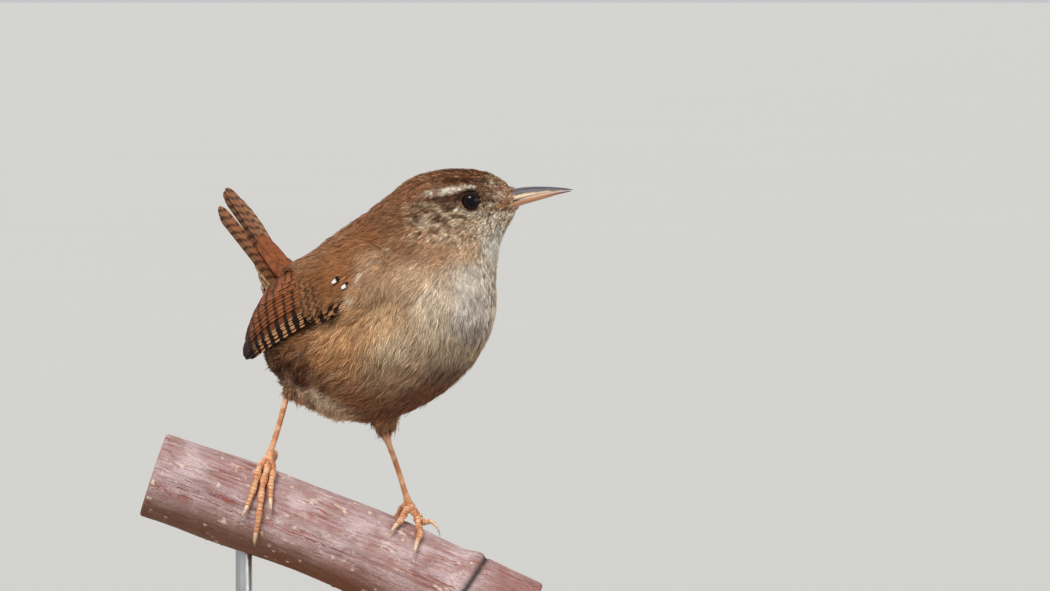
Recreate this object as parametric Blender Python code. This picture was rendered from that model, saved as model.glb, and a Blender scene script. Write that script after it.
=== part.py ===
"""A life-size display model of a small wren that grips a short length of branch on a stand.

Lengths are in millimetres and are scaled to metres where each mesh is made. The bird heads along +X, its
left side is +Y and up is +Z. The origin is the centre of the stand's underside.
"""

import math

import bmesh
import bpy
import numpy as np
from mathutils import Vector

METRE = 0.001
GAP = 0.3
FINE_GAP = 0.15
CURVE_AHEAD = 1e-3

# The branch and the stand. The branch runs across, seen square on from 40 degrees off the bird's heading.
PERCH_YAW = math.radians(40.0)
PERCH_HEIGHT = 41.9
PERCH_OFFSET = -3.0
PERCH_SLOPE = -0.405
PERCH_BEND = -0.00095
PERCH_HALF_LENGTH = 39.0
PERCH_RADIUS = 9.2
SCAR_PLACE = 24.5
SCAR_HEIGHT = 0.75
SCAR_WIDTH = 2.2
BASE_RADIUS = 44.0
BASE_THICKNESS = 9.0
BASE_BEVEL = 1.6
ROD_RADIUS = 1.75
ROD_PLACES = (-20.0, 20.0)
ROD_SUNK_IN_BASE = 5.0
ROD_SUNK_IN_PERCH = 4.5

# The bird
HEAD_CENTRE = np.array([28.8, 1.0, 114.0])
HEAD_YAW = math.radians(32.0)
HEAD_CUT = ((12.2, -8.2), (-12.0, -0.6))
NECK_CUT = ((37.0, 97.0), (5.0, 107.5))
EYE_RADIUS = 2.35
EYE_PLACE = (6.1, 5.05, 0.3)
LID_RADIUS = 2.12
LID_THICKNESS = 0.5
MOUTH_GAP = 0.14
WING_BEND = (25.0, 100.7)
WING_TILT = math.radians(25.7)
WING_STAND = 0.4
VANE_THICKNESS = 0.52
VANE_THINNING = 0.25
VANE_RIDGE = 0.12
FLIGHT_STATIONS = (0.0, 0.34, 0.66, 0.89, 1.0)
COVERT_STATIONS = (0.0, 0.5, 0.85, 1.0)
ARM_HEIGHT = 1.35
FEATHER_SEED = 7
LENGTH_VARIES = 0.25
FLAT_ENOUGH = math.radians(0.4)
TAIL_LENGTH = 31.5
TAIL_PAIRS = 6
TAIL_ANGLE = math.radians(46.0)
TAIL_ROOT = np.array([-12.0, 0.8, 92.7])
# Rings of the tail's root: place along the tail, half width and half depth
TAIL_ROOT_RINGS = ((-3.0, 2.6, 2.4), (0.0, 3.4, 3.3), (3.5, 3.6, 3.2), (6.5, 3.2, 2.5), (8.5, 2.2, 1.4))
TAIL_ROOT_DROP = 1.5
# Coverts over and under the tail: count, start, end, reach to the side, lifts of root and tip, half width
TAIL_COVERTS = (
    (4, -2.0, 13.0, 2.8, 0.7, 1.4, 1.7),
    (4, -1.0, 13.2, 2.6, -2.6, -1.9, 1.6),
    (4, -2.0, 10.4, 2.8, -3.9, -3.1, 1.6),
    (3, -2.5, 7.8, 2.0, -4.6, -4.4, 1.7),
)
TARSUS_RADIUS = 0.68
TOE_RADIUS = 0.62
TOE_STATIONS = 8

BODY_COLUMNS = 38
BODY_LEVELS = 35

# The feathered body is one stack of level rings from the belly to the crown.
# Each row: height, centre x, centre y, reach back, reach forward, half width, turn of the back half and of
# the front half in degrees, and how round they are (2 is an ellipse, less is more pointed).
BODY_ROWS = (
    (67.7, 7.4, 0.0, 0.0, 0.0, 0.0, 0, 0, 2.0, 2.0),
    (68.2, 7.4, 0.0, 4.8, 4.4, 4.2, 0, 0, 2.0, 2.0),
    (69.8, 7.4, 0.0, 9.6, 9.2, 7.8, 0, 0, 2.0, 2.0),
    (73.4, 8.0, 0.0, 16.4, 16.0, 12.6, 0, 0, 2.0, 2.0),
    (78.5, 8.8, 0.0, 23.2, 22.0, 16.2, 0, 0, 2.1, 2.0),
    (84.5, 9.6, 0.0, 26.6, 26.7, 17.6, 0, 0, 2.1, 2.05),
    (90.5, 10.7, 0.0, 27.2, 27.9, 17.8, 0, 0, 2.05, 2.1),
    (95.5, 13.1, 0.0, 26.2, 25.6, 17.0, 0, 2, 1.95, 2.1),
    (100.0, 15.6, 0.1, 23.7, 22.8, 15.5, 0, 8, 1.9, 2.1),
    (104.5, 19.2, 0.3, 20.0, 19.5, 13.1, 8, 20, 2.0, 2.0),
    (108.5, 23.0, 0.7, 16.5, 17.6, 10.4, 20, 28, 2.0, 1.9),
    (112.5, 27.0, 0.9, 13.8, 16.2, 8.7, 30, 32, 2.1, 1.65),
    (116.0, 29.2, 1.5, 11.5, 13.6, 7.9, 32, 32, 2.1, 1.65),
    (118.6, 30.0, 2.1, 9.0, 9.9, 6.2, 32, 32, 2.1, 1.9),
    (120.2, 30.6, 2.6, 5.2, 5.6, 3.7, 32, 32, 2.0, 2.0),
    (120.75, 30.8, 2.8, 0.0, 0.0, 0.0, 32, 32, 2.0, 2.0),
)

# Bill profile along the head: place ahead of the head's centre, top, mouth line, bottom and half width
BILL_ROWS = (
    (11.6, 2.30, -0.75, -2.4, 2.20),
    (13.6, 2.65, -0.10, -1.75, 1.90),
    (15.6, 3.00, 0.55, -0.80, 1.55),
    (18.0, 3.20, 1.15, -0.05, 1.20),
    (20.6, 3.22, 1.75, 0.70, 0.88),
    (23.2, 3.10, 2.15, 1.50, 0.56),
    (25.4, 2.88, 2.38, 2.05, 0.30),
    (26.7, 2.62, 2.50, 2.36, 0.10),
)
BILL_STATIONS = 12

# A folded wing's tiers of like feathers, each given by its lowest and its highest one. Places are (along the
# wing from its bend, up across it), and a feather's lifts are those of its root and its tip.
WING_TIERS = {
    "primaries": dict(
        count=7,
        roots=((12.0, -3.0), (16.0, -1.0)),
        tips=((41.2, -0.7), (43.0, 2.0)),
        half_widths=(1.9, 2.1),
        lifts=((0.1, 0.1), (0.45, 0.4)),
        tilt=0.13,
        bow=0.3,
        bulge=1.8,
        short=False,
    ),
    "secondaries": dict(
        count=5,
        roots=((15.5, -0.2), (17.5, 4.4)),
        tips=((41.2, 2.6), (32.4, 7.0)),
        half_widths=(2.3, 2.3),
        lifts=((0.5, 0.45), (0.75, 0.7)),
        tilt=0.12,
        bow=0.6,
        short=False,
    ),
    "tertials": dict(
        count=3,
        roots=((17.0, 5.2), (15.5, 7.0)),
        tips=((30.6, 7.4), (26.0, 8.3)),
        half_widths=(2.4, 2.3),
        lifts=((0.8, 0.75), (1.0, 0.9)),
        tilt=0.1,
        short=False,
    ),
    "primary_coverts": dict(
        count=3,
        roots=((9.5, -4.5), (13.0, -3.2)),
        tips=((18.0, -5.1), (22.0, -2.6)),
        half_widths=(1.4, 1.6),
        lifts=((0.35, 0.45), (0.6, 0.85)),
        tilt=0.16,
    ),
    "greater_coverts": dict(
        count=6,
        roots=((14.0, -1.8), (15.0, 6.8)),
        tips=((23.0, -1.0), (22.4, 8.5)),
        half_widths=(1.75, 1.85),
        lifts=((0.7, 1.15), (0.95, 1.55)),
        tilt=0.2,
        bulge=0.8,
    ),
    "median_coverts": dict(
        count=5,
        roots=((9.0, -2.6), (11.0, 5.8)),
        tips=((14.8, -2.0), (16.2, 6.9)),
        half_widths=(1.7, 1.75),
        lifts=((0.7, 1.35), (0.8, 1.5)),
        tilt=0.22,
        bulge=0.8,
    ),
    "lesser_coverts": dict(
        count=4,
        roots=((5.0, -1.8), (7.0, 4.4)),
        tips=((9.6, -2.0), (11.0, 5.2)),
        half_widths=(1.7, 1.75),
        lifts=((0.5, 1.25), (0.6, 1.3)),
        tilt=0.22,
        bulge=0.6,
    ),
}

# Feet: places along the branch, angles round it from the top towards the bird's front, and heights above the
# bark. Each toe's last row but two is where the claw begins.
FEET = {
    "right": {
        "ankle": (-18.6, 4.0, 1.7),
        "hock": (-6.4, -9.1, 73.4),
        "hip": (0.5, -7.0, 81.0),
        "toes": (
            ((-17.0, 24, 1.5), (-16.4, 48, 1.0), (-15.5, 66, 1.0), (-14.9, 76, 1.9), (-14.1, 86, 0.7)),
            (
                (-18.2, 27, 1.6),
                (-17.8, 54, 1.0),
                (-16.6, 86, 1.0),
                (-15.8, 110, 1.0),
                (-15.5, 122, 1.9),
                (-15.0, 132, 0.7),
            ),
            ((-19.6, 27, 1.5), (-19.3, 55, 1.0), (-19.2, 84, 1.0), (-19.3, 94, 1.9), (-19.6, 103, 0.7)),
            ((-17.9, -14, 3.4), (-17.6, -34, 2.0), (-17.5, -50, 1.2), (-17.6, -63, 2.2), (-17.6, -76, 0.8)),
        ),
    },
    "left": {
        "ankle": (9.9, -2.0, 3.2),
        "hock": (9.7, 3.9, 64.2),
        "hip": (8.0, 5.6, 74.0),
        "toes": (
            ((9.6, 12, 2.0), (9.4, 24, 1.0), (9.0, 34, 1.0), (8.7, 44, 2.0), (8.2, 54, 0.7)),
            (
                (11.6, 9, 2.4),
                (13.0, 20, 1.2),
                (13.8, 34, 1.0),
                (13.8, 46, 1.0),
                (14.0, 58, 1.9),
                (14.4, 69, 0.7),
            ),
            ((11.9, 2, 2.4), (13.4, 6, 1.6), (14.8, 9, 2.6), (16.2, 12, 2.7), (17.5, 16, 0.8)),
            ((8.9, -20, 3.2), (8.6, -36, 1.8), (8.5, -50, 1.2), (8.4, -63, 2.2), (8.4, -76, 0.8)),
        ),
    },
}


def clear_scene():
    for obj in list(bpy.data.objects):
        bpy.data.objects.remove(obj)


def finish(name, colour, roughness=0.7, metallic=0.0):
    """A plain material in the sub-part's own colour."""
    material = bpy.data.materials.new(name)
    material.use_nodes = True
    shader = material.node_tree.nodes["Principled BSDF"]
    shader.inputs["Base Color"].default_value = (*colour, 1.0)
    shader.inputs["Roughness"].default_value = roughness
    shader.inputs["Metallic"].default_value = metallic
    return material


def unit(vector):
    vector = np.asarray(vector, float)
    return vector / np.linalg.norm(vector, axis=-1, keepdims=True)


def smooth_between(at, places, values):
    """Values between a few stations, on a smooth curve through them."""
    places, values = np.asarray(places, float), np.asarray(values, float)
    at = np.clip(np.asarray(at, float), places[0], places[-1])
    flat = values.reshape(len(places), -1)
    slopes = np.gradient(flat, places, axis=0)
    i = np.clip(np.searchsorted(places, at, side="right") - 1, 0, len(places) - 2)
    step = (places[i + 1] - places[i])[..., None]
    u = ((at - places[i]) / (places[i + 1] - places[i]))[..., None]
    made = (
        (2 * u**3 - 3 * u**2 + 1) * flat[i]
        + (u**3 - 2 * u**2 + u) * step * slopes[i]
        + (3 * u**2 - 2 * u**3) * flat[i + 1]
        + (u**3 - u**2) * step * slopes[i + 1]
    )
    return made.reshape(np.shape(at) + values.shape[1:])


def mesh_object(name, points, faces, material=None):
    """A mesh object from points in millimetres, with its faces turned outwards."""
    mesh = bpy.data.meshes.new(name)
    mesh.from_pydata([tuple(p) for p in np.asarray(points, float) * METRE], [], faces)
    bm = bmesh.new()
    bm.from_mesh(mesh)
    bmesh.ops.recalc_face_normals(bm, faces=bm.faces)
    bm.to_mesh(mesh)
    bm.free()
    mesh.shade_smooth()
    mesh.set_sharp_from_angle(angle=math.radians(40))
    if material:
        mesh.materials.append(material)
    obj = bpy.data.objects.new(name, mesh)
    bpy.context.scene.collection.objects.link(obj)
    return obj


def loft(name, rings, material=None):
    """A closed body through rings of equal count. Each end closes on the middle of its last ring."""
    rings = np.asarray(rings, float)
    count, around = rings.shape[:2]
    points = [*rings.reshape(-1, 3), rings[0].mean(axis=0), rings[-1].mean(axis=0)]
    faces = []
    for i in range(count - 1):
        for j in range(around):
            a, b = i * around + j, i * around + (j + 1) % around
            faces += [(a, b, b + around), (a, b + around, a + around)]
    first, last, top = count * around, count * around + 1, (count - 1) * around
    for j in range(around):
        faces.append((first, (j + 1) % around, j))
        faces.append((last, top + j, top + (j + 1) % around))
    return mesh_object(name, points, faces, material)


def plate(name, upper, lower, material=None):
    """A thin closed body between two grids of points, split into triangles alike on both faces."""
    upper, lower = np.asarray(upper, float), np.asarray(lower, float)
    rows, columns = upper.shape[:2]
    size = rows * columns
    faces = []
    for i in range(rows - 1):
        for j in range(columns - 1):
            a = i * columns + j
            b, c, d = a + 1, a + columns + 1, a + columns
            faces += [(a, b, c), (a, c, d), (size + c, size + b, size + a), (size + d, size + c, size + a)]
    rim = [j for j in range(columns)]
    rim += [i * columns + columns - 1 for i in range(1, rows)]
    rim += [(rows - 1) * columns + j for j in range(columns - 2, -1, -1)]
    rim += [i * columns for i in range(rows - 2, 0, -1)]
    for a, b in zip(rim, rim[1:] + rim[:1]):
        faces += [(a, b, b + size), (a, b + size, a + size)]
    return mesh_object(name, [*upper.reshape(-1, 3), *lower.reshape(-1, 3)], faces, material)


def tube(name, path, radii, sides=6, material=None):
    """A round tapering body along a path."""
    path = np.asarray(path, float)
    along = unit(np.gradient(path, axis=0))
    spoke = unit(np.cross(along[0], (0.31, 0.95, 0.1)))
    rings = []
    for place, direction, radius in zip(path, along, radii):
        spoke = unit(spoke - direction * np.dot(spoke, direction))
        other = np.cross(direction, spoke)
        angle = np.linspace(0, 2 * math.pi, sides, endpoint=False)[:, None]
        rings.append(place + radius * (spoke * np.cos(angle) + other * np.sin(angle)))
    return loft(name, rings, material)


def ball(name, centre, radii, rings=10, around=14, material=None):
    """An ellipsoid."""
    made = []
    angle = np.linspace(0, 2 * math.pi, around, endpoint=False)
    for k in range(1, rings):
        tilt = math.pi * k / rings
        level = np.full(around, -math.cos(tilt))
        shape = np.stack([math.sin(tilt) * np.cos(angle), math.sin(tilt) * np.sin(angle), level], axis=1)
        made.append(np.asarray(centre) + shape * np.asarray(radii))
    return loft(name, made, material)


def evaluated(obj):
    """Applies an object's modifiers to its mesh."""
    bpy.context.view_layer.update()
    graph = bpy.context.evaluated_depsgraph_get()
    made = bpy.data.meshes.new_from_object(obj.evaluated_get(graph))
    obj.modifiers.clear()
    obj.data = made
    return obj


def keep_largest(obj):
    """Drops all but the largest closed surface of a mesh, and joins its level neighbouring faces."""
    bm = bmesh.new()
    bm.from_mesh(obj.data)
    left, groups = set(bm.verts), []
    while left:
        group, front = set(), [left.pop()]
        while front:
            vert = front.pop()
            group.add(vert)
            for edge in vert.link_edges:
                other = edge.other_vert(vert)
                if other in left:
                    left.discard(other)
                    front.append(other)
        groups.append(group)

    def reach(group):
        places = np.array([v.co for v in group])
        return float(np.prod(places.max(axis=0) - places.min(axis=0)))

    groups.sort(key=reach)
    for group in groups[:-1]:
        bmesh.ops.delete(bm, geom=list(group), context="VERTS")
    bmesh.ops.dissolve_limit(bm, angle_limit=FLAT_ENOUGH, verts=bm.verts, edges=bm.edges)
    bmesh.ops.triangulate(bm, faces=bm.faces)
    bm.to_mesh(obj.data)
    bm.free()
    return obj


def join_solids(name, pieces, material):
    """One closed body from closed pieces that overlap."""
    group = bpy.data.collections.new(name + "_pieces")
    for piece in pieces[1:]:
        group.objects.link(piece)
    body = pieces[0]
    body.name = name
    union = body.modifiers.new("join", "BOOLEAN")
    union.operation = "UNION"
    union.operand_type = "COLLECTION"
    union.collection = group
    union.solver = "EXACT"
    evaluated(body)
    for piece in pieces[1:]:
        bpy.data.objects.remove(piece)
    bpy.data.collections.remove(group)
    body.data.name = name
    body.data.materials.clear()
    body.data.materials.append(material)
    return keep_largest(body)


def cut(body, cutter, keep_cutter=False):
    """Takes the cutter's shape out of a body."""
    cutter.hide_render = True
    cutter.display_type = "WIRE"
    difference = body.modifiers.new("cut", "BOOLEAN")
    difference.operation = "DIFFERENCE"
    difference.object = cutter
    difference.solver = "EXACT"
    evaluated(body)
    if not keep_cutter:
        bpy.data.objects.remove(cutter)
    return keep_largest(body)


def swollen(obj, by):
    """A copy of a body that stands proud of it by a distance all over, as a cutter."""
    copy = obj.copy()
    copy.data = obj.data.copy()
    bpy.context.scene.collection.objects.link(copy)
    mesh = copy.data
    normals = np.empty(len(mesh.vertices) * 3, np.float32)
    mesh.vertex_normals.foreach_get("vector", normals)
    places = np.empty_like(normals)
    mesh.vertices.foreach_get("co", places)
    mesh.vertices.foreach_set("co", places + normals * by * METRE)
    mesh.update()
    return copy


def part_behind(obj, name, place, normal, material):
    """The part of a closed body behind a plane, closed by a flat face."""
    bm = bmesh.new()
    bm.from_mesh(obj.data)
    made = bmesh.ops.bisect_plane(
        bm,
        geom=bm.verts[:] + bm.edges[:] + bm.faces[:],
        dist=1e-7,
        plane_co=Vector(place) * METRE,
        plane_no=Vector(normal),
        clear_outer=True,
    )
    rim = [e for e in made["geom_cut"] if isinstance(e, bmesh.types.BMEdge)]
    bmesh.ops.edgeloop_fill(bm, edges=rim)
    bmesh.ops.triangulate(bm, faces=bm.faces)
    mesh = bpy.data.meshes.new(name)
    bm.to_mesh(mesh)
    bm.free()
    mesh.materials.clear()
    mesh.materials.append(material)
    part = bpy.data.objects.new(name, mesh)
    bpy.context.scene.collection.objects.link(part)
    return part


def body_ring(station, around):
    """The closed outline of the body at one station of the stack."""
    row = smooth_between(np.array([station]), np.arange(len(BODY_ROWS)), BODY_ROWS)[0]
    height, centre_x, centre_y, back, front, half, turn_back, turn_front, round_back, round_front = row
    angle = np.linspace(0, 2 * math.pi, around, endpoint=False)
    forward, side = np.cos(angle), np.sin(angle)
    ahead = forward > 0
    power = np.where(ahead, round_front, round_back)
    reach = np.where(ahead, front, back)
    along = np.sign(forward) * np.abs(forward) ** (2 / power) * reach
    across = np.sign(side) * np.abs(side) ** (2 / power) * half
    blend = 0.5 + 0.5 * np.sin(0.5 * math.pi * forward)
    turn = np.radians(turn_back + (turn_front - turn_back) * blend)
    return np.stack(
        [
            centre_x + along * np.cos(turn) - across * np.sin(turn),
            centre_y + along * np.sin(turn) + across * np.cos(turn),
            np.full(around, height),
        ],
        axis=1,
    )


def whole_body():
    """Torso, neck and head in one, before they are parted."""
    stations = np.linspace(0.3, len(BODY_ROWS) - 1.3, BODY_LEVELS)
    return loft("whole_body", [body_ring(s, BODY_COLUMNS) for s in stations])


def head_point(forward, left, up):
    """A place given along the head's own axes, in the bird's frame."""
    c, s = math.cos(HEAD_YAW), math.sin(HEAD_YAW)
    return HEAD_CENTRE + np.array([forward * c - left * s, forward * s + left * c, up])


def cutting_plane(front, rear, across):
    """A place and an upward direction for a plane through two points and along a level direction."""
    normal = unit(np.cross(unit(np.asarray(rear) - front), across))
    return np.asarray(front, float), normal * (1 if normal[2] > 0 else -1)


def bill_half(name, upper, material=None, grow=0.0, last=None):
    """The upper or lower half of the bill: a dome on a flat face along the mouth line."""
    rings = []
    sign = 1 if upper else -1
    for place in np.linspace(BILL_ROWS[0][0], last or BILL_ROWS[-1][0], BILL_STATIONS):
        row = smooth_between(np.array([place]), [r[0] for r in BILL_ROWS], BILL_ROWS)[0]
        top, mouth, bottom, half = row[1:]
        far = (top if upper else bottom) + grow * sign
        near = mouth + (0.5 * MOUTH_GAP - grow) * sign
        across = np.linspace(-1, 1, 7)
        dome = [(w * (half + grow), near + (far - near) * (1 - abs(w) ** 1.7) ** 0.75) for w in across]
        flat = [(w * (half + grow), near) for w in (0.6, 0.0, -0.6)]
        rings.append([head_point(place, side, up) for side, up in dome + flat])
    return loft(name, rings, material)


def nostril(side):
    """A cutter for the slit of a nostril in the side of the upper bill."""
    path = [head_point(16.6 - 0.9, side * 1.35, 2.15), head_point(16.6 + 0.9, side * 1.15, 2.5)]
    middle = (path[0] + path[1]) / 2
    return tube("nostril", [path[0], middle, path[1]], [0.16, 0.28, 0.16], 6)


def lid_ring(name, side):
    """The rim of the eyelids, a thin ring round the eye on the side of the head."""
    out = unit(head_point(0.16, side, 0.02) - HEAD_CENTRE)
    forward = head_point(1, 0, 0) - HEAD_CENTRE
    forward = unit(forward - out * np.dot(forward, out))
    up = np.cross(out, forward)
    centre = head_point(EYE_PLACE[0], side * EYE_PLACE[1], EYE_PLACE[2]) + out * 1.25
    points, faces = [], []
    around, section = 18, 5
    for i in range(around):
        a = 2 * math.pi * i / around
        spoke = forward * math.cos(a) + up * math.sin(a) * 0.94
        for j in range(section):
            b = 2 * math.pi * j / section
            reach = LID_RADIUS + LID_THICKNESS * math.cos(b)
            points.append(centre + spoke * reach + out * LID_THICKNESS * math.sin(b) * 1.1)
    for i in range(around):
        for j in range(section):
            a, b = i * section + j, i * section + (j + 1) % section
            c, d = ((i + 1) % around) * section + (j + 1) % section, ((i + 1) % around) * section + j
            faces += [(a, b, c), (a, c, d)]
    return mesh_object(name, points, faces)


def make_head(body, place, normal, material):
    """The head with its eye sockets, lids and the bed of the bill, cut from the whole body."""
    head = part_behind(body, "head", place + normal * GAP * 0.5, -normal, material)
    eyes = {}
    for side, word in ((1, "left"), (-1, "right")):
        eyes[word] = head_point(EYE_PLACE[0], side * EYE_PLACE[1], EYE_PLACE[2])
        head = join_solids("head", [head, lid_ring("lid", side)], material)
        cut(head, ball("socket", eyes[word], [EYE_RADIUS + FINE_GAP] * 3, rings=10, around=14))
    for upper in (True, False):
        cut(head, bill_half("bill_bed", upper, grow=FINE_GAP, last=20.0))
    return head, eyes


def make_bill(material):
    upper = bill_half("bill_upper", True, material)
    for side in (1, -1):
        cut(upper, nostril(side))
    bill_half("bill_lower", False, material)


def wing_place(side, along, across, lift):
    """A place on a folded wing, from the bend back to the tip, up across it and out from the flank."""
    c, s = math.cos(WING_TILT), math.sin(WING_TILT)

    def flank(x, z):
        rows = np.asarray(BODY_ROWS)
        row = smooth_between(z, rows[:, 0], rows)
        behind = x < row[..., 1]
        spare = np.interp(z, (80.0, 100.0), (8.5, 4.0))
        reach = np.where(behind, row[..., 3] + spare, row[..., 4] + 2.0)
        share = np.clip(np.abs(x - row[..., 1]) / reach, 0, 0.97)
        return (row[..., 5] + WING_STAND) * (1 - share**2) ** 0.5

    along, across, lift = np.broadcast_arrays(*(np.asarray(v, float) for v in (along, across, lift)))
    x = WING_BEND[0] - along * c - across * s
    z = WING_BEND[1] - along * s + across * c
    y = flank(x, z)
    slope_x = (flank(x + CURVE_AHEAD, z) - y) / CURVE_AHEAD
    slope_z = (flank(x, z + CURVE_AHEAD) - y) / CURVE_AHEAD
    out = unit(np.stack([-slope_x, np.ones_like(y), -slope_z], axis=-1))
    place = np.stack([x, y, z], axis=-1) + out * lift[..., None]
    return place * np.array([1.0, side, 1.0])


def vane(place, root, tip, half_width, lifts, tilt=0.0, bow=0.0, stations=FLIGHT_STATIONS, ridge=0.0):
    """One feather between two places (along, across) on the lie of a wing or tail.

    The lifts are those of its root and tip, tilt raises one edge over the next feather, bow bends it, and
    a ridge crowns it along its shaft.
    """
    edges = np.array([-1.0, 0.0, 1.0] if ridge else [-1.0, 1.0])
    root, tip, share = np.asarray(root, float), np.asarray(tip, float), np.asarray(stations)
    run = tip - root
    sideways = unit(np.array([-run[1], run[0]]))
    spine = root + run * share[:, None] + sideways * bow * np.sin(math.pi * share)[:, None]
    widening = np.interp(share, (0.0, 0.45, 0.8, 0.93, 1.0), (0.5, 0.95, 1.0, 0.72, 0.3))
    offset = half_width * widening[:, None] * edges
    along = spine[:, :1] + sideways[0] * offset
    across = spine[:, 1:] + sideways[1] * offset
    rise = lifts[0] + (lifts[1] - lifts[0]) * share[:, None] - tilt * offset
    crown = ridge * (1 - np.abs(edges))
    thick = VANE_THICKNESS * (1 - VANE_THINNING * share[:, None] ** 2)
    upper = place(along, across, rise + thick + crown)
    return plate("vane", upper, place(along, across, rise + crown * 0.5))


def arm_height(across):
    """How far the fleshy arm under the coverts stands out from the flank."""
    return ARM_HEIGHT * (1 - 0.6 * ((np.asarray(across) - 2.0) / 8.0) ** 2)


def wing_arm(place):
    """The arm that the wing's feathers are rooted in."""
    along = np.array([1.0, 4.0, 8.0, 12.5, 17.0, 20.0])
    low = np.array([-1.4, -3.9, -5.2, -5.6, -5.0, -3.4])
    high = np.array([1.4, 4.9, 7.4, 8.8, 8.6, 7.0])
    share = np.linspace(0, 1, 6)
    a = np.repeat(along[:, None], 6, axis=1)
    b = low[:, None] + (high - low)[:, None] * share
    ends = np.array([0.05, 0.7, 1.0, 1.0, 0.9, 0.5])[:, None]
    return plate("arm", place(a, b, arm_height(b) * ends), place(a, b, np.full_like(a, -1.4)))


def make_wing(side, material, rng):
    """A folded wing: primaries under secondaries under tertials, with tiers of coverts over their roots."""

    def place(along, across, lift):
        return wing_place(side, along, across, lift)

    pieces = [wing_arm(place)]
    for tier in WING_TIERS.values():
        short = tier.get("short", True)
        for k in range(tier["count"]):
            t = k / (tier["count"] - 1)
            root, tip, half, lifts = (
                np.array(tier[what][0]) * (1 - t) + np.array(tier[what][1]) * t
                for what in ("roots", "tips", "half_widths", "lifts")
            )
            tip[0] += tier.get("bulge", 0.0) * 4 * t * (1 - t) + rng.uniform(-LENGTH_VARIES, LENGTH_VARIES)
            stations = COVERT_STATIONS if short else FLIGHT_STATIONS
            ridge = VANE_RIDGE if short else 0.0
            bow = tier.get("bow", 0.0)
            pieces.append(vane(place, root, tip, half, lifts, tier["tilt"], bow, stations, ridge))
    word = "left" if side > 0 else "right"
    return join_solids("wing_" + word, pieces, material)


def tail_place(along, across, lift):
    """A place on the tail, out from its root, across to the left and up from its upper side."""
    c, s = math.cos(TAIL_ANGLE), math.sin(TAIL_ANGLE)
    along, across, lift = np.broadcast_arrays(*(np.asarray(v, float) for v in (along, across, lift)))
    x = TAIL_ROOT[0] - along * c + lift * s
    z = TAIL_ROOT[2] + along * s + lift * c
    return np.stack([x, TAIL_ROOT[1] + across, z], axis=-1)


def tail_root():
    """The feathered root that the tail's feathers grow from."""
    angle = np.linspace(0, 2 * math.pi, 12, endpoint=False)
    rings = []
    for along, wide, deep in TAIL_ROOT_RINGS:
        drop = TAIL_ROOT_DROP - 0.08 * along
        rings.append(tail_place(along, wide * np.cos(angle), deep * np.sin(angle) - drop))
    return loft("tail_root", rings)


def make_tail(material, rng):
    """Twelve tail feathers, the middle pair on top, with coverts over and under their roots."""
    pieces = [tail_root()]
    for k in range(TAIL_PAIRS):
        t = k / (TAIL_PAIRS - 1)
        for side in (1, -1):
            length = TAIL_LENGTH - 5.4 * t**1.7 - rng.uniform(0.0, 0.35)
            lift = 0.1 * (side > 0) * (k == 0) - 0.2 * k
            root, tip = (1.0, side * (0.8 + 1.7 * t)), (length, side * (0.6 + 3.7 * t))
            lifts = (lift, lift - 0.3 * t)
            ridge = VANE_RIDGE if k == 0 else 0.0
            pieces.append(vane(tail_place, root, tip, 2.2 - 0.3 * t, lifts, 0.05 * side, ridge=ridge))
    for count, start, end, reach, lift_root, lift_tip, half in TAIL_COVERTS:
        for k in range(count):
            spread = 2 * k / (count - 1) - 1
            root = (start, spread * reach * 0.6)
            tip = (end - 2.2 * spread**2 - rng.uniform(0.0, 0.5), spread * reach)
            turn = 0.12 * spread * (1 if lift_tip > 0 else -1)
            drop = (0.35 * spread**2 + 0.07 * k) * (-1 if lift_tip > 0 else 1)
            lifts = (lift_root + drop, lift_tip + drop)
            pieces.append(vane(tail_place, root, tip, half, lifts, turn, stations=COVERT_STATIONS))
    return join_solids("tail", pieces, material)


def perch_frame(along):
    """The middle of the branch and its up direction, at a distance along the branch's level run."""
    run = np.array([math.cos(PERCH_YAW), math.sin(PERCH_YAW), 0.0])
    away = np.array([-math.sin(PERCH_YAW), math.cos(PERCH_YAW), 0.0])
    height = PERCH_HEIGHT + PERCH_SLOPE * along + PERCH_BEND * along**2
    slope = PERCH_SLOPE + 2 * PERCH_BEND * along
    middle = run * along + away * PERCH_OFFSET + np.array([0.0, 0.0, height])
    direction = unit(run + np.array([0.0, 0.0, slope]))
    return middle, np.cross(direction, away), -away


def perch_radius(along, angle):
    """The branch is nearly round, with soft lumps and an old ring scar."""
    lumps = 0.16 * math.sin(0.21 * along + 2 * angle) + 0.12 * math.sin(0.09 * along - 3 * angle + 1.3)
    ring = SCAR_HEIGHT * math.exp(-(((along - SCAR_PLACE - 1.6 * math.cos(angle)) / SCAR_WIDTH) ** 2))
    return PERCH_RADIUS + lumps + ring


def on_perch(along, degrees, lift):
    """A place over the bark of the branch, at an angle round it from the top towards the bird's front."""
    angle = math.radians(degrees)
    middle, up, near = perch_frame(along)
    return middle + (up * math.cos(angle) + near * math.sin(angle)) * (perch_radius(along, angle) + lift)


def make_perch(material):
    rings = []
    for along in np.linspace(-PERCH_HALF_LENGTH, PERCH_HALF_LENGTH, 27):
        rings.append([on_perch(along, degrees, 0.0) for degrees in np.arange(0, 360, 20)])
    perch = loft("perch", rings, material)
    for place in ROD_PLACES:
        middle = perch_frame(place)[0]
        under = middle[2] - PERCH_RADIUS * 1.05
        length = ROD_SUNK_IN_PERCH + GAP + 6.0
        top = under + ROD_SUNK_IN_PERCH + GAP
        cut(perch, cylinder("rod_hole", (middle[0], middle[1]), top - length, top, ROD_RADIUS + GAP))
    return perch


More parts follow.
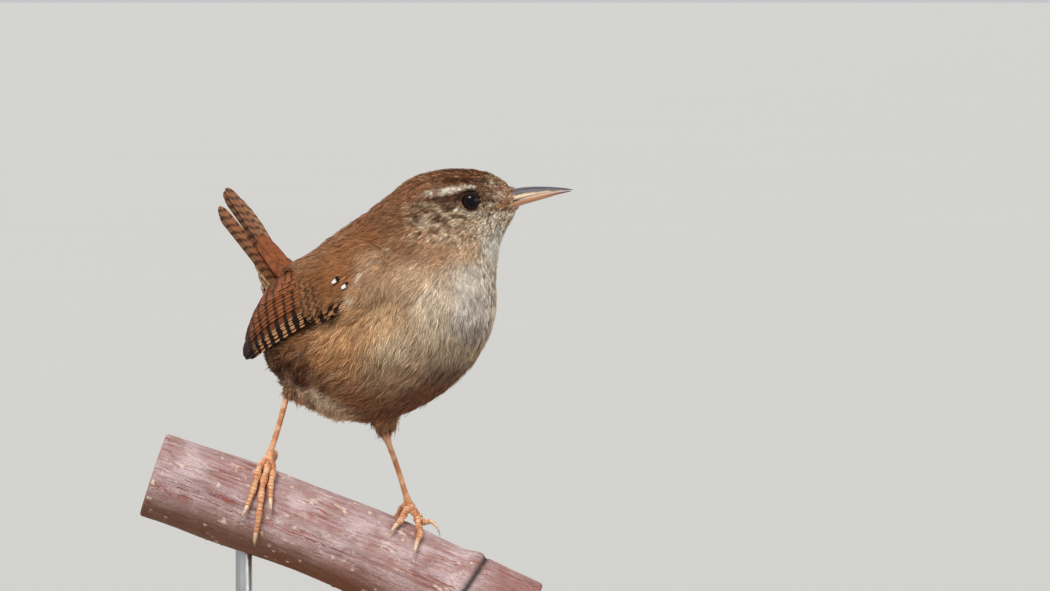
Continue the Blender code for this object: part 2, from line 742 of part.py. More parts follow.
def cylinder(name, place, low, high, radius, sides=20, material=None):
    """An upright round rod between two heights."""
    angle = np.linspace(0, 2 * math.pi, sides, endpoint=False)
    ring = np.stack([place[0] + radius * np.cos(angle), place[1] + radius * np.sin(angle)], axis=1)
    rings = [np.column_stack([ring, np.full(sides, height)]) for height in (low, high)]
    return loft(name, rings, material)


def make_stand(wood, steel):
    """A round base with two rods up into the branch."""
    bpy.ops.mesh.primitive_cylinder_add(
        vertices=48,
        radius=BASE_RADIUS * METRE,
        depth=BASE_THICKNESS * METRE,
        location=(0, 0, BASE_THICKNESS * METRE / 2),
    )
    base = bpy.context.active_object
    base.name = "stand_base"
    edge = base.modifiers.new("rounded_edge", "BEVEL")
    edge.width = BASE_BEVEL * METRE
    edge.segments = 2
    edge.limit_method = "ANGLE"
    evaluated(base)
    base.data.materials.append(wood)
    for number, along in enumerate(ROD_PLACES, 1):
        middle = perch_frame(along)[0]
        place = (middle[0], middle[1])
        floor = BASE_THICKNESS - ROD_SUNK_IN_BASE
        top = middle[2] - PERCH_RADIUS * 1.05 + ROD_SUNK_IN_PERCH
        cut(base, cylinder("rod_socket", place, floor - GAP, BASE_THICKNESS + 4, ROD_RADIUS + GAP))
        cylinder("stand_rod_" + str(number), place, floor, top, ROD_RADIUS, material=steel)


def make_leg(word, bulk, plumage, skin, claw_horn):
    """One leg: the feathered thigh, the bare tarsus, the foot and its four claws."""
    sizes = FEET[word]
    hip, hock = np.array(sizes["hip"]), np.array(sizes["hock"])
    ankle = on_perch(*sizes["ankle"])
    down = unit(ankle - hock)
    share = np.array([0.0, 0.3, 0.55, 0.8, 1.0])[:, None]
    thigh = tube("thigh_" + word, hip + (hock - hip) * share, [3.6, 3.2, 2.6, 1.8, 1.25], 12, plumage)
    cut(thigh, swollen(bulk, GAP))

    start = hock + down * (GAP + 0.1)
    end = ankle - down * (TOE_RADIUS + FINE_GAP + 0.75)
    share = np.array([0.0, 0.06, 0.18, 0.5, 0.85, 1.0])[:, None]
    shape = np.array([1.15, 1.35, 1.0, 0.94, 1.02, 1.3]) * TARSUS_RADIUS
    tube("tarsus_" + word, start + (end - start) * share, shape, 8, skin)

    foot = [ball("foot_" + word, ankle, (1.25, 1.25, 1.05), 6, 8)]
    for number, toe in enumerate(sizes["toes"], 1):
        path = [ankle] + [on_perch(*row) for row in toe]
        steps = np.linspace(0, 1, TOE_STATIONS)
        bare = smooth_between(steps * (len(path) - 3), np.arange(len(path) - 2), path[:-2])
        foot.append(tube("toe", bare, np.interp(steps, (0, 0.5, 1), (1.15, 1.0, 0.8)) * TOE_RADIUS, 6))
        start, bend, point = path[-3:]
        start = start + unit(bend - start) * FINE_GAP
        steps = np.linspace(0, 1, 6)
        curve = [(1 - t) ** 2 * start + 2 * t * (1 - t) * bend + t**2 * point for t in steps]
        width = np.interp(steps, (0, 0.5, 1), (0.74, 0.45, 0.12)) * TOE_RADIUS
        tube("claw_" + word + "_" + str(number), curve, width, 6, claw_horn)
    join_solids("foot_" + word, foot, skin)


def main():
    clear_scene()
    plumage = finish("plumage", (0.32, 0.19, 0.11), 0.85)
    barred = finish("barred_feathers", (0.22, 0.09, 0.05), 0.6)
    horn = finish("bill_horn", (0.20, 0.16, 0.14), 0.35)
    eye = finish("eye", (0.01, 0.008, 0.008), 0.05)
    skin = finish("leg_skin", (0.45, 0.24, 0.17), 0.5)
    claw_horn = finish("claw_horn", (0.50, 0.36, 0.25), 0.4)
    bark = finish("bark", (0.45, 0.33, 0.33), 0.85)
    wood = finish("base_wood", (0.10, 0.05, 0.03), 0.4)
    steel = finish("rod_steel", (0.5, 0.5, 0.5), 0.35, 1.0)

    body = whole_body()
    across = unit(head_point(0, 1, 0) - HEAD_CENTRE)
    head_cut = cutting_plane(
        head_point(HEAD_CUT[0][0], 0, HEAD_CUT[0][1]), head_point(HEAD_CUT[1][0], 0, HEAD_CUT[1][1]), across
    )
    neck_cut = cutting_plane(
        (NECK_CUT[0][0], 0, NECK_CUT[0][1]), (NECK_CUT[1][0], 0, NECK_CUT[1][1]), (0.0, 1.0, 0.0)
    )
    bulk = swollen(body, 0.0)
    head, eyes = make_head(body, *head_cut, plumage)
    neck = part_behind(body, "neck_below", head_cut[0] - head_cut[1] * GAP * 0.5, head_cut[1], plumage)
    part_behind(neck, "neck", neck_cut[0] + neck_cut[1] * GAP * 0.5, -neck_cut[1], plumage)
    part_behind(body, "torso", neck_cut[0] - neck_cut[1] * GAP * 0.5, neck_cut[1], plumage)
    bpy.data.objects.remove(neck)
    bpy.data.objects.remove(body)
    for word, place in eyes.items():
        ball("eye_" + word, place, [EYE_RADIUS] * 3, 9, 14, eye)
    make_bill(horn)

    rng = np.random.default_rng(FEATHER_SEED)
    for side in (1, -1):
        cut(make_wing(side, barred, rng), swollen(bulk, GAP))
    cut(make_tail(barred, rng), swollen(bulk, GAP))
    for word in FEET:
        make_leg(word, bulk, plumage, skin, claw_horn)
    bpy.data.objects.remove(bulk)
    make_perch(bark)
    make_stand(wood, steel)


main()
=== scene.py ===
import math

import bmesh
import bpy
import numpy as np
from mathutils import Matrix, Vector
from mathutils.bvhtree import BVHTree


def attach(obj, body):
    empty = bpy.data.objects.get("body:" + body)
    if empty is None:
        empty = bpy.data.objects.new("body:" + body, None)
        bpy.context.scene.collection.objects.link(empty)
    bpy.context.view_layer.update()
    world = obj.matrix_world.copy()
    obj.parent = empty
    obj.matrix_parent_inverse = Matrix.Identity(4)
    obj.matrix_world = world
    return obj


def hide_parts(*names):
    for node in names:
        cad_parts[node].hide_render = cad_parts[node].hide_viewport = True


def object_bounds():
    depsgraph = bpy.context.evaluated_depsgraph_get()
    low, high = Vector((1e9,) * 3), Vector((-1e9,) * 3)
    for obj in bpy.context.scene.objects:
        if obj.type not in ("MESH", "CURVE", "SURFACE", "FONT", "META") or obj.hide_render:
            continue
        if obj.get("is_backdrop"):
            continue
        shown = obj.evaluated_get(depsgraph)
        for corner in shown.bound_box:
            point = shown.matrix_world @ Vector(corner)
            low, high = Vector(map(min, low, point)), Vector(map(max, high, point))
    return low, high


# A small wren on its perch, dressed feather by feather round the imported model.
# Sizes are in millimetres unless a note says otherwise. The bird faces +X, and its left side is +Y.
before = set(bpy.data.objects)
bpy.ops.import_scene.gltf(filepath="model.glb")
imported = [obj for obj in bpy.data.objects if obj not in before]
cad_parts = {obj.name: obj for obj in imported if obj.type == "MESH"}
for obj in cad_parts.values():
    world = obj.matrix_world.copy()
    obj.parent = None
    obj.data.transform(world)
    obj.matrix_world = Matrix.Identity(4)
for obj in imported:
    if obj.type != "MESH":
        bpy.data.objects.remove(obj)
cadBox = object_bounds()
mm = 0.001
draw = np.random.default_rng(11)


# Vectors and curves

def unit(vectors):
    vectors = np.asarray(vectors, float)
    return vectors / np.maximum(np.linalg.norm(vectors, axis=-1, keepdims=True), 1e-12)


def dot(one, other):
    return np.sum(one * other, axis=-1, keepdims=True)


def step(low, high, values):
    t = np.clip((np.asarray(values, float) - low) / (high - low), 0, 1)
    return t * t * (3 - 2 * t)


def throughPoints(at, places, values):
    # a smooth curve through a few stations
    places, values = np.asarray(places, float), np.asarray(values, float)
    at = np.clip(np.asarray(at, float), places[0], places[-1])
    flat = values.reshape(len(places), -1)
    slopes = np.gradient(flat, places, axis=0)
    i = np.clip(np.searchsorted(places, at, side="right") - 1, 0, len(places) - 2)
    width = (places[i + 1] - places[i])[..., None]
    u = ((at - places[i]) / (places[i + 1] - places[i]))[..., None]
    made = (2 * u**3 - 3 * u**2 + 1) * flat[i] + (u**3 - 2 * u**2 + u) * width * slopes[i]
    made = made + (3 * u**2 - 2 * u**3) * flat[i + 1] + (u**3 - u**2) * width * slopes[i + 1]
    return made.reshape(np.shape(at) + values.shape[1:])


def mottle(places, size, seed=0):
    # soft random values from 0 to 1 that vary over a distance of about size
    scaled = np.asarray(places, float) / size
    corner = np.floor(scaled).astype(np.int64)
    part = scaled - corner
    part = part * part * (3 - 2 * part)
    total = np.zeros(len(scaled))
    for bits in range(8):
        offset = np.array([bits & 1, bits >> 1 & 1, bits >> 2 & 1])
        cell = corner + offset
        key = cell[:, 0] * 73856093 ^ cell[:, 1] * 19349663 ^ cell[:, 2] * 83492791 ^ (seed * 7919 + 101)
        key = (key ^ key >> 13) * 1274126177
        value = (key ^ key >> 16) & 0xFFFF
        weight = np.prod(np.where(offset == 1, part, 1 - part), axis=1)
        total += weight * value / 0xFFFF
    return total


def paint(red, green, blue):
    # a colour as it looks on a screen, from 0 to 255, made linear
    values = np.array([red, green, blue], float) / 255
    return np.where(values <= 0.04045, values / 12.92, ((values + 0.055) / 1.055) ** 2.4)


# Frames of the head, the wings and the tail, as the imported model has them

head = {"centre": np.array([28.8, 1.0, 114.0]), "yaw": math.radians(32.0)}
eye = {"place": np.array([6.1, 5.05, 0.3]), "radius": 2.35}
wing = {
    "bend": (25.0, 100.7),
    "tilt": math.radians(25.7),
    "stand": 0.4,
    # the flank that it lies on: height, middle, reach back, reach forward and half width
    "flank": np.array([
        (73.4, 8.0, 16.4, 16.0, 12.6),
        (78.5, 8.8, 23.2, 22.0, 16.2),
        (84.5, 9.6, 26.6, 26.7, 17.6),
        (90.5, 10.7, 27.2, 27.9, 17.8),
        (95.5, 13.1, 26.2, 25.6, 17.0),
        (100.0, 15.6, 23.7, 22.8, 15.5),
        (104.5, 19.2, 20.0, 19.5, 13.1),
        (108.5, 23.0, 16.5, 17.6, 10.4),
        (112.5, 27.0, 13.8, 16.2, 8.7),
    ]),
}
tail = {"root": np.array([-12.0, 0.8, 92.7]), "angle": math.radians(46.0), "length": 31.5}


def headAxes():
    c, s = math.cos(head["yaw"]), math.sin(head["yaw"])
    return np.array([[c, s, 0.0], [-s, c, 0.0], [0.0, 0.0, 1.0]])


def fromHead(places):
    return head["centre"] + np.asarray(places, float) @ headAxes()


def toHead(places):
    return (np.asarray(places, float) - head["centre"]) @ headAxes().T


def wingPlace(side, along, across, lift):
    c, s = math.cos(wing["tilt"]), math.sin(wing["tilt"])

    def flank(x, z):
        rows = throughPoints(z, wing["flank"][:, 0], wing["flank"])
        spare = np.interp(z, (80.0, 100.0), (8.5, 4.0))
        reach = np.where(x < rows[..., 1], rows[..., 2] + spare, rows[..., 3] + 2.0)
        share = np.clip(np.abs(x - rows[..., 1]) / reach, 0, 0.97)
        return (rows[..., 4] + wing["stand"]) * (1 - share**2) ** 0.5

    along, across, lift = np.broadcast_arrays(*(np.asarray(v, float) for v in (along, across, lift)))
    x = wing["bend"][0] - along * c - across * s
    z = wing["bend"][1] - along * s + across * c
    y = flank(x, z)
    tiny = 1e-3
    slopeX, slopeZ = (flank(x + tiny, z) - y) / tiny, (flank(x, z + tiny) - y) / tiny
    out = unit(np.stack([-slopeX, np.ones_like(y), -slopeZ], axis=-1))
    return (np.stack([x, y, z], axis=-1) + out * lift[..., None]) * np.array([1.0, side, 1.0])


def onWing(places):
    # how far along and across the folded wing a place is
    c, s = math.cos(wing["tilt"]), math.sin(wing["tilt"])
    x, z = wing["bend"][0] - places[:, 0], wing["bend"][1] - places[:, 2]
    return x * c + z * s, x * s - z * c


def tailPlace(along, across, lift):
    c, s = math.cos(tail["angle"]), math.sin(tail["angle"])
    along, across, lift = np.broadcast_arrays(*(np.asarray(v, float) for v in (along, across, lift)))
    x = tail["root"][0] - along * c + lift * s
    z = tail["root"][2] + along * s + lift * c
    return np.stack([x, tail["root"][1] + across, z], axis=-1)


# Finishes: a value in a shader is a Wire, so that maths on it reads as maths

class Wire:
    def __init__(self, tree, socket):
        self.tree = tree
        self.socket = socket

    def maths(self, operation, one, other):
        node = self.tree.nodes.new("ShaderNodeMath")
        node.operation = operation
        for socket, value in zip(node.inputs, (one, other)):
            join(self.tree, value, socket)
        return Wire(self.tree, node.outputs[0])

    def __add__(self, other):
        return self.maths("ADD", self, other)

    def __radd__(self, other):
        return self.maths("ADD", other, self)

    def __sub__(self, other):
        return self.maths("SUBTRACT", self, other)

    def __rsub__(self, other):
        return self.maths("SUBTRACT", other, self)

    def __mul__(self, other):
        return self.maths("MULTIPLY", self, other)

    def __rmul__(self, other):
        return self.maths("MULTIPLY", other, self)

    def __truediv__(self, other):
        return self.maths("DIVIDE", self, other)

    def __pow__(self, other):
        return self.maths("POWER", self, other)


def join(tree, value, socket):
    if isinstance(value, Wire):
        tree.links.new(value.socket, socket)
    elif value is not None:
        if hasattr(value, "__len__") and len(value) == 3 and socket.type == "RGBA":
            value = (*value, 1.0)
        socket.default_value = value


class Finish:
    def __init__(self, name, **fixed):
        self.material = bpy.data.materials.new(name)
        self.material.use_nodes = True
        self.tree = self.material.node_tree
        self.shader = self.tree.nodes["Principled BSDF"]
        for socket, value in fixed.items():
            self.shader.inputs[socket.replace("_", " ")].default_value = value

    # any node: its type, its settings, then the values or links of its sockets by name or number
    def node(self, kind, settings=None, sockets=None, out=0):
        node = self.tree.nodes.new("ShaderNode" + kind)
        for name, value in (settings or {}).items():
            if name == "stops":
                self.rampStops(node.color_ramp, value)
            else:
                setattr(node, name, value)
        for name, value in (sockets or {}).items():
            join(self.tree, value, node.inputs[name])
        return Wire(self.tree, node.outputs[out])

    def rampStops(self, ramp, stops):
        while len(ramp.elements) < len(stops):
            ramp.elements.new(0.5)
        for element, (place, colour) in zip(ramp.elements, stops):
            element.position = place
            element.color = (*colour, 1.0) if hasattr(colour, "__len__") else (colour, colour, colour, 1.0)

    def mix(self, share, one, other, way="MIX"):
        return self.node("Mix", {"data_type": "RGBA", "blend_type": way}, {0: share, 6: one, 7: other}, 2)

    def ramp(self, value, *stops):
        return self.node("ValToRGB", {"stops": stops}, {0: value})

    def smooth(self, value, low, high, start=0.0, end=1.0):
        settings = {"interpolation_type": "SMOOTHSTEP"}
        return self.node("MapRange", settings, {0: value, 1: low, 2: high, 3: start, 4: end})

    def object(self):
        return self.node("TexCoord", out="Object")

    def stretched(self, vector, scale, turn=(0.0, 0.0, 0.0)):
        return self.node("Mapping", None, {"Vector": vector, "Scale": scale, "Rotation": turn})

    def noise(self, vector, scale, detail=4.0, roughness=0.55):
        sockets = {"Vector": vector, "Scale": scale, "Detail": detail, "Roughness": roughness}
        return self.node("TexNoise", None, sockets)

    def attribute(self, name, out="Fac"):
        return self.node("Attribute", {"attribute_name": name}, out=out)

    def map(self, name):
        return self.node("UVMap", {"uv_map": name})

    def parts(self, vector):
        node = self.node("SeparateXYZ", None, {0: vector}).socket.node
        return [Wire(self.tree, socket) for socket in node.outputs]

    def bump(self, height, distance, strength=1.0, normal=None):
        sockets = {"Height": height, "Distance": distance, "Strength": strength}
        if normal:
            sockets["Normal"] = normal
        return self.node("Bump", None, sockets)

    def feed(self, **sockets):
        for name, value in sockets.items():
            join(self.tree, value, self.shader.inputs[name.replace("_", " ")])
        return self.material


# Meshes

def makeMesh(name, points, faces, finishes, smooth=True):
    mesh = bpy.data.meshes.new(name)
    mesh.from_pydata(np.asarray(points, np.float32) * mm, [], faces)
    for finish in finishes:
        mesh.materials.append(finish)
    if smooth:
        mesh.shade_smooth()
    piece = bpy.data.objects.new(name, mesh)
    bpy.context.scene.collection.objects.link(piece)
    return piece


def setMap(mesh, name, perPoint):
    corners = np.empty(len(mesh.loops), np.int32)
    mesh.loops.foreach_get("vertex_index", corners)
    layer = mesh.uv_layers.new(name=name)
    layer.uv.foreach_set("vector", np.asarray(perPoint, np.float32)[corners].ravel())


def setLayer(mesh, name, values):
    values = np.asarray(values, np.float32)
    if values.ndim == 2:
        layer = mesh.attributes.new(name, "FLOAT_COLOR", "POINT")
        values = np.column_stack([values, np.ones(len(values), np.float32)])
        layer.data.foreach_set("color", values.ravel())
    else:
        layer = mesh.attributes.new(name, "FLOAT", "POINT")
        layer.data.foreach_set("value", values)


def meshPoints(mesh):
    points = np.empty(len(mesh.vertices) * 3, np.float32)
    mesh.vertices.foreach_get("co", points)
    return points.reshape(-1, 3) / mm


def meshNormals(mesh):
    normals = np.empty(len(mesh.vertices) * 3, np.float32)
    mesh.vertex_normals.foreach_get("vector", normals)
    return normals.reshape(-1, 3)


def selectOnly(*objects):
    bpy.ops.object.select_all(action="DESELECT")
    for item in objects:
        item.select_set(True)
    bpy.context.view_layer.objects.active = objects[0]


def modify(piece, kind, **settings):
    modifier = piece.modifiers.new(kind.lower(), kind)
    for name, value in settings.items():
        setattr(modifier, name, value)
    selectOnly(piece)
    bpy.ops.object.modifier_apply(modifier=modifier.name)


def place(piece, slot, replaced=()):
    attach(piece, "root")
    if replaced:
        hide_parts(*replaced)
    return piece


class Bundle:
    # many small shapes gathered into one mesh, with their maps and layers
    def __init__(self):
        self.points = []
        self.faces = []
        self.layers = {}
        self.count = 0

    def add(self, points, faces, **layers):
        points = np.asarray(points, float).reshape(-1, 3)
        self.points.append(points)
        self.faces.append(np.asarray(faces) + self.count)
        for name, values in layers.items():
            self.layers.setdefault(name, []).append(values)
        self.count += len(points)

    def build(self, name, finishes, maps=(), smooth=True):
        piece = makeMesh(name, np.concatenate(self.points), np.concatenate(self.faces), finishes, smooth)
        for layer, values in self.layers.items():
            values = np.concatenate(values)
            if layer in maps:
                setMap(piece.data, layer, values)
            else:
                setLayer(piece.data, layer, values)
        return piece


def gridFaces(rows, columns, flip=False):
    a = (np.arange(rows - 1)[:, None] * columns + np.arange(columns - 1)).ravel()
    faces = np.stack([a, a + 1, a + columns + 1, a + columns], axis=1)
    return faces[:, ::-1] if flip else faces


def rimFaces(rows, columns, below):
    rim = list(range(columns)) + [i * columns + columns - 1 for i in range(1, rows)]
    rim += list(range(rows * columns - 2, (rows - 1) * columns - 1, -1))
    rim += [i * columns for i in range(rows - 2, 0, -1)]
    rim = np.array(rim)
    after = np.roll(rim, -1)
    return np.stack([after, rim, rim + below, after + below], axis=1)


# The coat. Each row of the lie is a place on the bird, which way its feathers point, how long and how wide
# they are, how far their tips stand off the skin, and their ground colour. Rows with a side are mirrored.

plumage = {
    "forehead": paint(158, 110, 80),
    "foreCrown": paint(124, 82, 55),
    "crown": paint(120, 76, 47),
    "crownBack": paint(140, 96, 67),
    "nape": paint(136, 96, 69),
    "mantle": paint(143, 94, 61),
    "scapular": paint(152, 102, 66),
    "back": paint(150, 108, 79),
    "rump": paint(104, 56, 31),
    "lore": paint(152, 120, 100),
    "foreLore": paint(130, 96, 73),
    "cheek": paint(184, 152, 124),
    "rearCheek": paint(160, 124, 98),
    "ear": paint(140, 106, 82),
    "rearEar": paint(124, 83, 58),
    "sideNeck": paint(140, 98, 66),
    "neckSide": paint(142, 104, 74),
    "chin": paint(206, 172, 140),
    "chinSide": paint(238, 208, 180),
    "throat": paint(252, 244, 229),
    "throatSide": paint(194, 163, 132),
    "lowThroat": paint(206, 194, 180),
    "breast": paint(207, 195, 184),
    "breastMid": paint(206, 187, 163),
    "breastSide": paint(170, 138, 108),
    "shoulder": paint(172, 134, 102),
    "foreFlank": paint(200, 156, 114),
    "flank": paint(176, 128, 86),
    "breastLow": paint(190, 168, 140),
    "bellySide": paint(168, 135, 104),
    "hindFlank": paint(157, 108, 70),
    "lowFlank": paint(84, 41, 20),
    "flankEdge": paint(126, 84, 56),
    "rearFlank": paint(78, 38, 22),
    # the underside of the breast and the belly is painted darker than its feathers' own colour: partly painted shade
    "underBreast": paint(126, 98, 81),
    "belly": paint(133, 93, 67),
    "underBelly": paint(124, 84, 62),
    "vent": paint(218, 182, 152),
    "ventFront": paint(252, 225, 194),
    "thigh": paint(176, 130, 94),
    "underNeck": paint(176, 138, 106),
    "breastFore": paint(200, 170, 138),
    # a patch low on the front of the breast, painted darker as painted shade
    "shadedBreast": paint(158, 142, 128),
    "breastEdge": paint(206, 171, 132),
    "flankPale": paint(212, 162, 116),
    "bellyMid": paint(174, 143, 116),
    "bellyEdge": paint(162, 114, 82),
}

lie = (
    ("head", (12.2, 1.0, 3.4), (-0.80, 0, 0.60), 1.3, 0.6, 0.40, "forehead"),
    ("head", (9.5, 2.6, 4.8), (-0.95, 0.12, 0.25), 1.8, 0.75, 0.45, "foreCrown"),
    ("head", (6.5, 2.6, 6.1), (-1, 0.02, 0.10), 2.4, 0.95, 0.60, "crown"),
    ("head", (3.0, 0, 6.6), (-1, 0, 0.05), 2.7, 1.0, 0.60, "crown"),
    ("head", (2.0, 5.2, 5.0), (-1, 0.05, -0.04), 2.4, 0.9, 0.60, "crown"),
    ("head", (-6.0, 0, 5.8), (-1, 0, -0.35), 3.2, 1.1, 0.80, "crownBack"),
    ("head", (-7.0, 5.0, 3.6), (-1, 0.02, -0.35), 3.0, 1.1, 0.80, "crownBack"),
    ("head", (-13.0, 0, 0.5), (-0.85, 0, -0.55), 4.2, 1.5, 1.00, "nape"),
    ("head", (-12.0, 6.5, -2.5), (-0.85, 0, -0.55), 4.0, 1.4, 1.00, "nape"),
    ("head", (11.4, 3.2, 1.0), (-0.85, 0.45, 0.25), 1.2, 0.5, 0.35, "lore"),
    ("head", (8.6, 5.0, 2.6), (-0.92, 0.30, 0.22), 1.2, 0.5, 0.40, "foreLore"),
    ("head", (8.8, 4.6, -2.2), (-0.88, 0.30, -0.38), 1.3, 0.55, 0.40, "cheek"),
    ("head", (5.6, 6.0, -3.4), (-0.93, 0.12, -0.35), 1.6, 0.65, 0.50, "cheek"),
    ("head", (0.6, 7.4, -0.4), (-0.97, 0.05, -0.20), 2.0, 0.7, 0.60, "ear"),
    ("head", (-1.0, 7.6, -3.6), (-0.90, 0.02, -0.44), 2.3, 0.8, 0.65, "rearCheek"),
    ("head", (-5.5, 7.6, -1.2), (-0.92, 0, -0.40), 2.7, 0.9, 0.75, "rearEar"),
    ("head", (-4.0, 8.0, -6.6), (-0.78, 0, -0.62), 3.2, 1.0, 0.90, "sideNeck"),
    ("head", (-9.0, 8.2, -8.5), (-0.78, 0, -0.62), 3.8, 1.2, 0.95, "neckSide"),
    ("head", (12.4, 1.2, -2.6), (-0.50, 0, -0.86), 1.3, 0.55, 0.35, "chin"),
    ("head", (9.8, 3.4, -3.8), (-0.55, 0.12, -0.82), 1.6, 0.6, 0.45, "chinSide"),
    ("head", (9.6, 1.0, -7.5), (-0.15, 0, -0.99), 2.4, 0.85, 0.75, "throat"),
    ("head", (5.0, 6.0, -9.0), (-0.45, 0.05, -0.88), 3.0, 0.95, 0.70, "throatSide"),
    ("head", (-2.2, 7.4, -9.6), (-0.68, 0.03, -0.73), 3.4, 1.1, 0.85, "underNeck"),
    ("body", (40.0, 2.0, 98.0), (0.02, 0, -1.0), 4.0, 1.3, 1.00, "lowThroat"),
    ("body", (38.0, 2.0, 91.0), (-0.05, 0, -1.0), 5.0, 1.5, 1.20, "breast"),
    ("body", (34.0, 9.5, 93.5), (-0.30, 0.05, -0.94), 5.2, 1.5, 1.20, "breastMid"),
    ("body", (30.0, 11.6, 97.6), (-0.45, 0.08, -0.88), 5.0, 1.5, 1.20, "breastFore"),
    # painted shade low on the front of the breast
    ("body", (37.0, -1.0, 86.0), (-0.15, 0, -1.0), 5.4, 1.6, 1.20, "shadedBreast"),
    ("body", (26.5, 13.5, 94.5), (-0.50, 0.10, -0.85), 5.2, 1.5, 1.20, "breastSide"),
    ("body", (22.5, 13.2, 101.5), (-0.72, 0.10, -0.68), 4.8, 1.5, 1.20, "shoulder"),
    ("body", (15.5, 16.5, 99.5), (-0.86, 0.02, -0.50), 4.6, 1.7, 1.10, "scapular"),
    ("body", (25.6, 14.2, 89.5), (-0.54, 0.05, -0.84), 5.6, 1.6, 1.30, "breastEdge"),
    ("body", (13.2, 17.8, 85.8), (-0.74, 0, -0.66), 6.2, 1.7, 1.40, "flankPale"),
    ("body", (20.5, 16.6, 88.5), (-0.60, 0.04, -0.80), 6.0, 1.6, 1.30, "foreFlank"),
    ("body", (12.4, 17.0, 81.5), (-0.74, 0, -0.66), 6.4, 1.7, 1.40, "flank"),
    ("body", (4.5, 17.2, 84.0), (-0.86, 0, -0.50), 6.2, 1.7, 1.40, "hindFlank"),
    ("body", (2.5, 14.8, 77.8), (-0.86, 0, -0.50), 6.0, 1.8, 1.40, "lowFlank"),
    ("body", (8.5, 13.8, 75.2), (-0.80, 0, -0.60), 5.6, 1.7, 1.40, "flankEdge"),
    ("body", (-6.0, 13.5, 81.0), (-0.95, 0, -0.25), 5.6, 1.8, 1.50, "rearFlank"),
    ("body", (-12.0, 9.0, 86.0), (-0.88, 0, 0.30), 5.4, 1.8, 1.60, "rearFlank"),
    ("body", (-9.0, 9.0, 77.6), (-0.92, 0, 0.05), 5.4, 1.8, 1.60, "rearFlank"),
    ("body", (-14.5, 2.5, 82.0), (-0.74, 0, 0.60), 5.0, 1.8, 1.20, "vent"),
    ("body", (33.5, 4.0, 83.0), (-0.30, 0, -0.95), 5.6, 1.6, 1.30, "breastLow"),
    # these rows under the breast and the belly carry painted shade in their colours
    ("body", (31.0, 3.0, 78.6), (-0.45, 0, -0.89), 5.4, 1.6, 1.20, "underBreast"),
    ("body", (27.0, 12.0, 84.0), (-0.50, 0, -0.86), 6.0, 1.6, 1.30, "breastLow"),
    ("body", (25.0, 2.0, 74.3), (-0.66, 0, -0.75), 5.2, 1.6, 1.20, "underBelly"),
    ("body", (27.0, 9.4, 79.8), (-0.62, 0, -0.78), 5.6, 1.6, 1.25, "bellyMid"),
    ("body", (13.0, 11.4, 73.8), (-0.84, 0, -0.52), 5.4, 1.6, 1.30, "bellyEdge"),
    ("body", (22.0, 11.5, 77.5), (-0.74, 0, -0.66), 6.0, 1.7, 1.30, "bellySide"),
    ("body", (15.5, 8.5, 71.6), (-0.90, 0, -0.40), 5.6, 1.7, 1.30, "belly"),
    ("body", (14.0, 1.0, 69.0), (-0.98, 0, -0.18), 5.2, 1.7, 1.20, "underBelly"),
    ("body", (5.5, 11.0, 72.4), (-0.55, 0, -0.83), 4.6, 1.2, 2.00, "ventFront"),
    ("body", (-1.6, 10.4, 73.6), (-0.60, 0, -0.80), 4.8, 1.2, 2.20, "vent"),
    ("body", (2.0, 8.0, 70.4), (-0.50, 0, -0.86), 4.4, 1.2, 2.20, "vent"),
    ("body", (2.0, 0.0, 68.6), (-0.95, 0, -0.20), 5.2, 1.5, 1.60, "vent"),
    ("body", (-8.0, 4.0, 73.5), (-0.86, 0, 0.48), 5.2, 1.5, 1.50, "vent"),
    ("body", (14.0, 0, 108.5), (-0.84, 0, -0.54), 4.4, 1.6, 1.10, "mantle"),
    ("body", (19.0, 12.0, 105.0), (-0.82, 0.05, -0.56), 4.6, 1.5, 1.10, "mantle"),
    ("body", (6.0, 11.0, 103.0), (-0.88, 0.03, -0.46), 4.8, 1.7, 1.00, "back"),
    ("body", (0.0, 0, 102.0), (-0.90, 0, -0.44), 4.8, 1.8, 1.00, "back"),
    ("body", (-6.0, 10.0, 97.5), (-0.90, 0, -0.42), 4.8, 1.7, 0.90, "rump"),
    ("body", (-10.0, 0, 97.0), (-0.92, 0, -0.10), 4.4, 1.6, 0.90, "rump"),
    ("body", (-14.0, 4.0, 92.0), (-0.85, 0, 0.35), 4.4, 1.6, 1.00, "rump"),
    ("body", (-5.0, -9.0, 72.5), (-0.55, 0, -0.80), 2.6, 1.0, 0.60, "thigh"),
    ("body", (9.4, 4.0, 66.0), (-0.15, 0, -0.99), 3.4, 1.0, 0.90, "thigh"),
)
coat = {
    "nearest": 2.2,  # how sharply one row of the lie gives way to the next
    "spacing": (0.177, 0.085),  # between roots: a fixed part and a share of the feather's length
    "barbs": 7,  # on each side of a feather's shaft
    "barbWidth": 0.080,
    "rootSunk": 0.25,
}


def layRows():
    places, towards, sizes, colours = [], [], [], []
    for on, spot, way, *size, colour in lie:
        mirrored = (1, -1) if spot[1] > 0 and colour != "thigh" else (1,)
        for side in mirrored:
            flip = np.array([1.0, side, 1.0])
            spotNow, wayNow = np.array(spot) * flip, unit(np.array(way) * flip)
            places.append(fromHead(spotNow) if on == "head" else spotNow)
            towards.append(wayNow @ headAxes() if on == "head" else wayNow)
            sizes.append(size)
            colours.append(plumage[colour])
    return tuple(np.array(v) for v in (places, towards, sizes, colours))


lieRows = layRows()


def readLie(places, normals):
    # the way, the sizes and the ground colour of the coat at each place
    spots, towards, sizes, colours = lieRows
    gap = np.linalg.norm(places[:, None] - spots[None], axis=2)
    nearest = gap.min(axis=1, keepdims=True)
    weight = np.exp(-coat["nearest"] * (gap - nearest) / (0.35 * nearest + 0.9))
    weight /= weight.sum(axis=1, keepdims=True)
    way = weight @ towards
    way = unit(way - normals * dot(way, normals))
    return way, weight @ sizes, weight @ colours


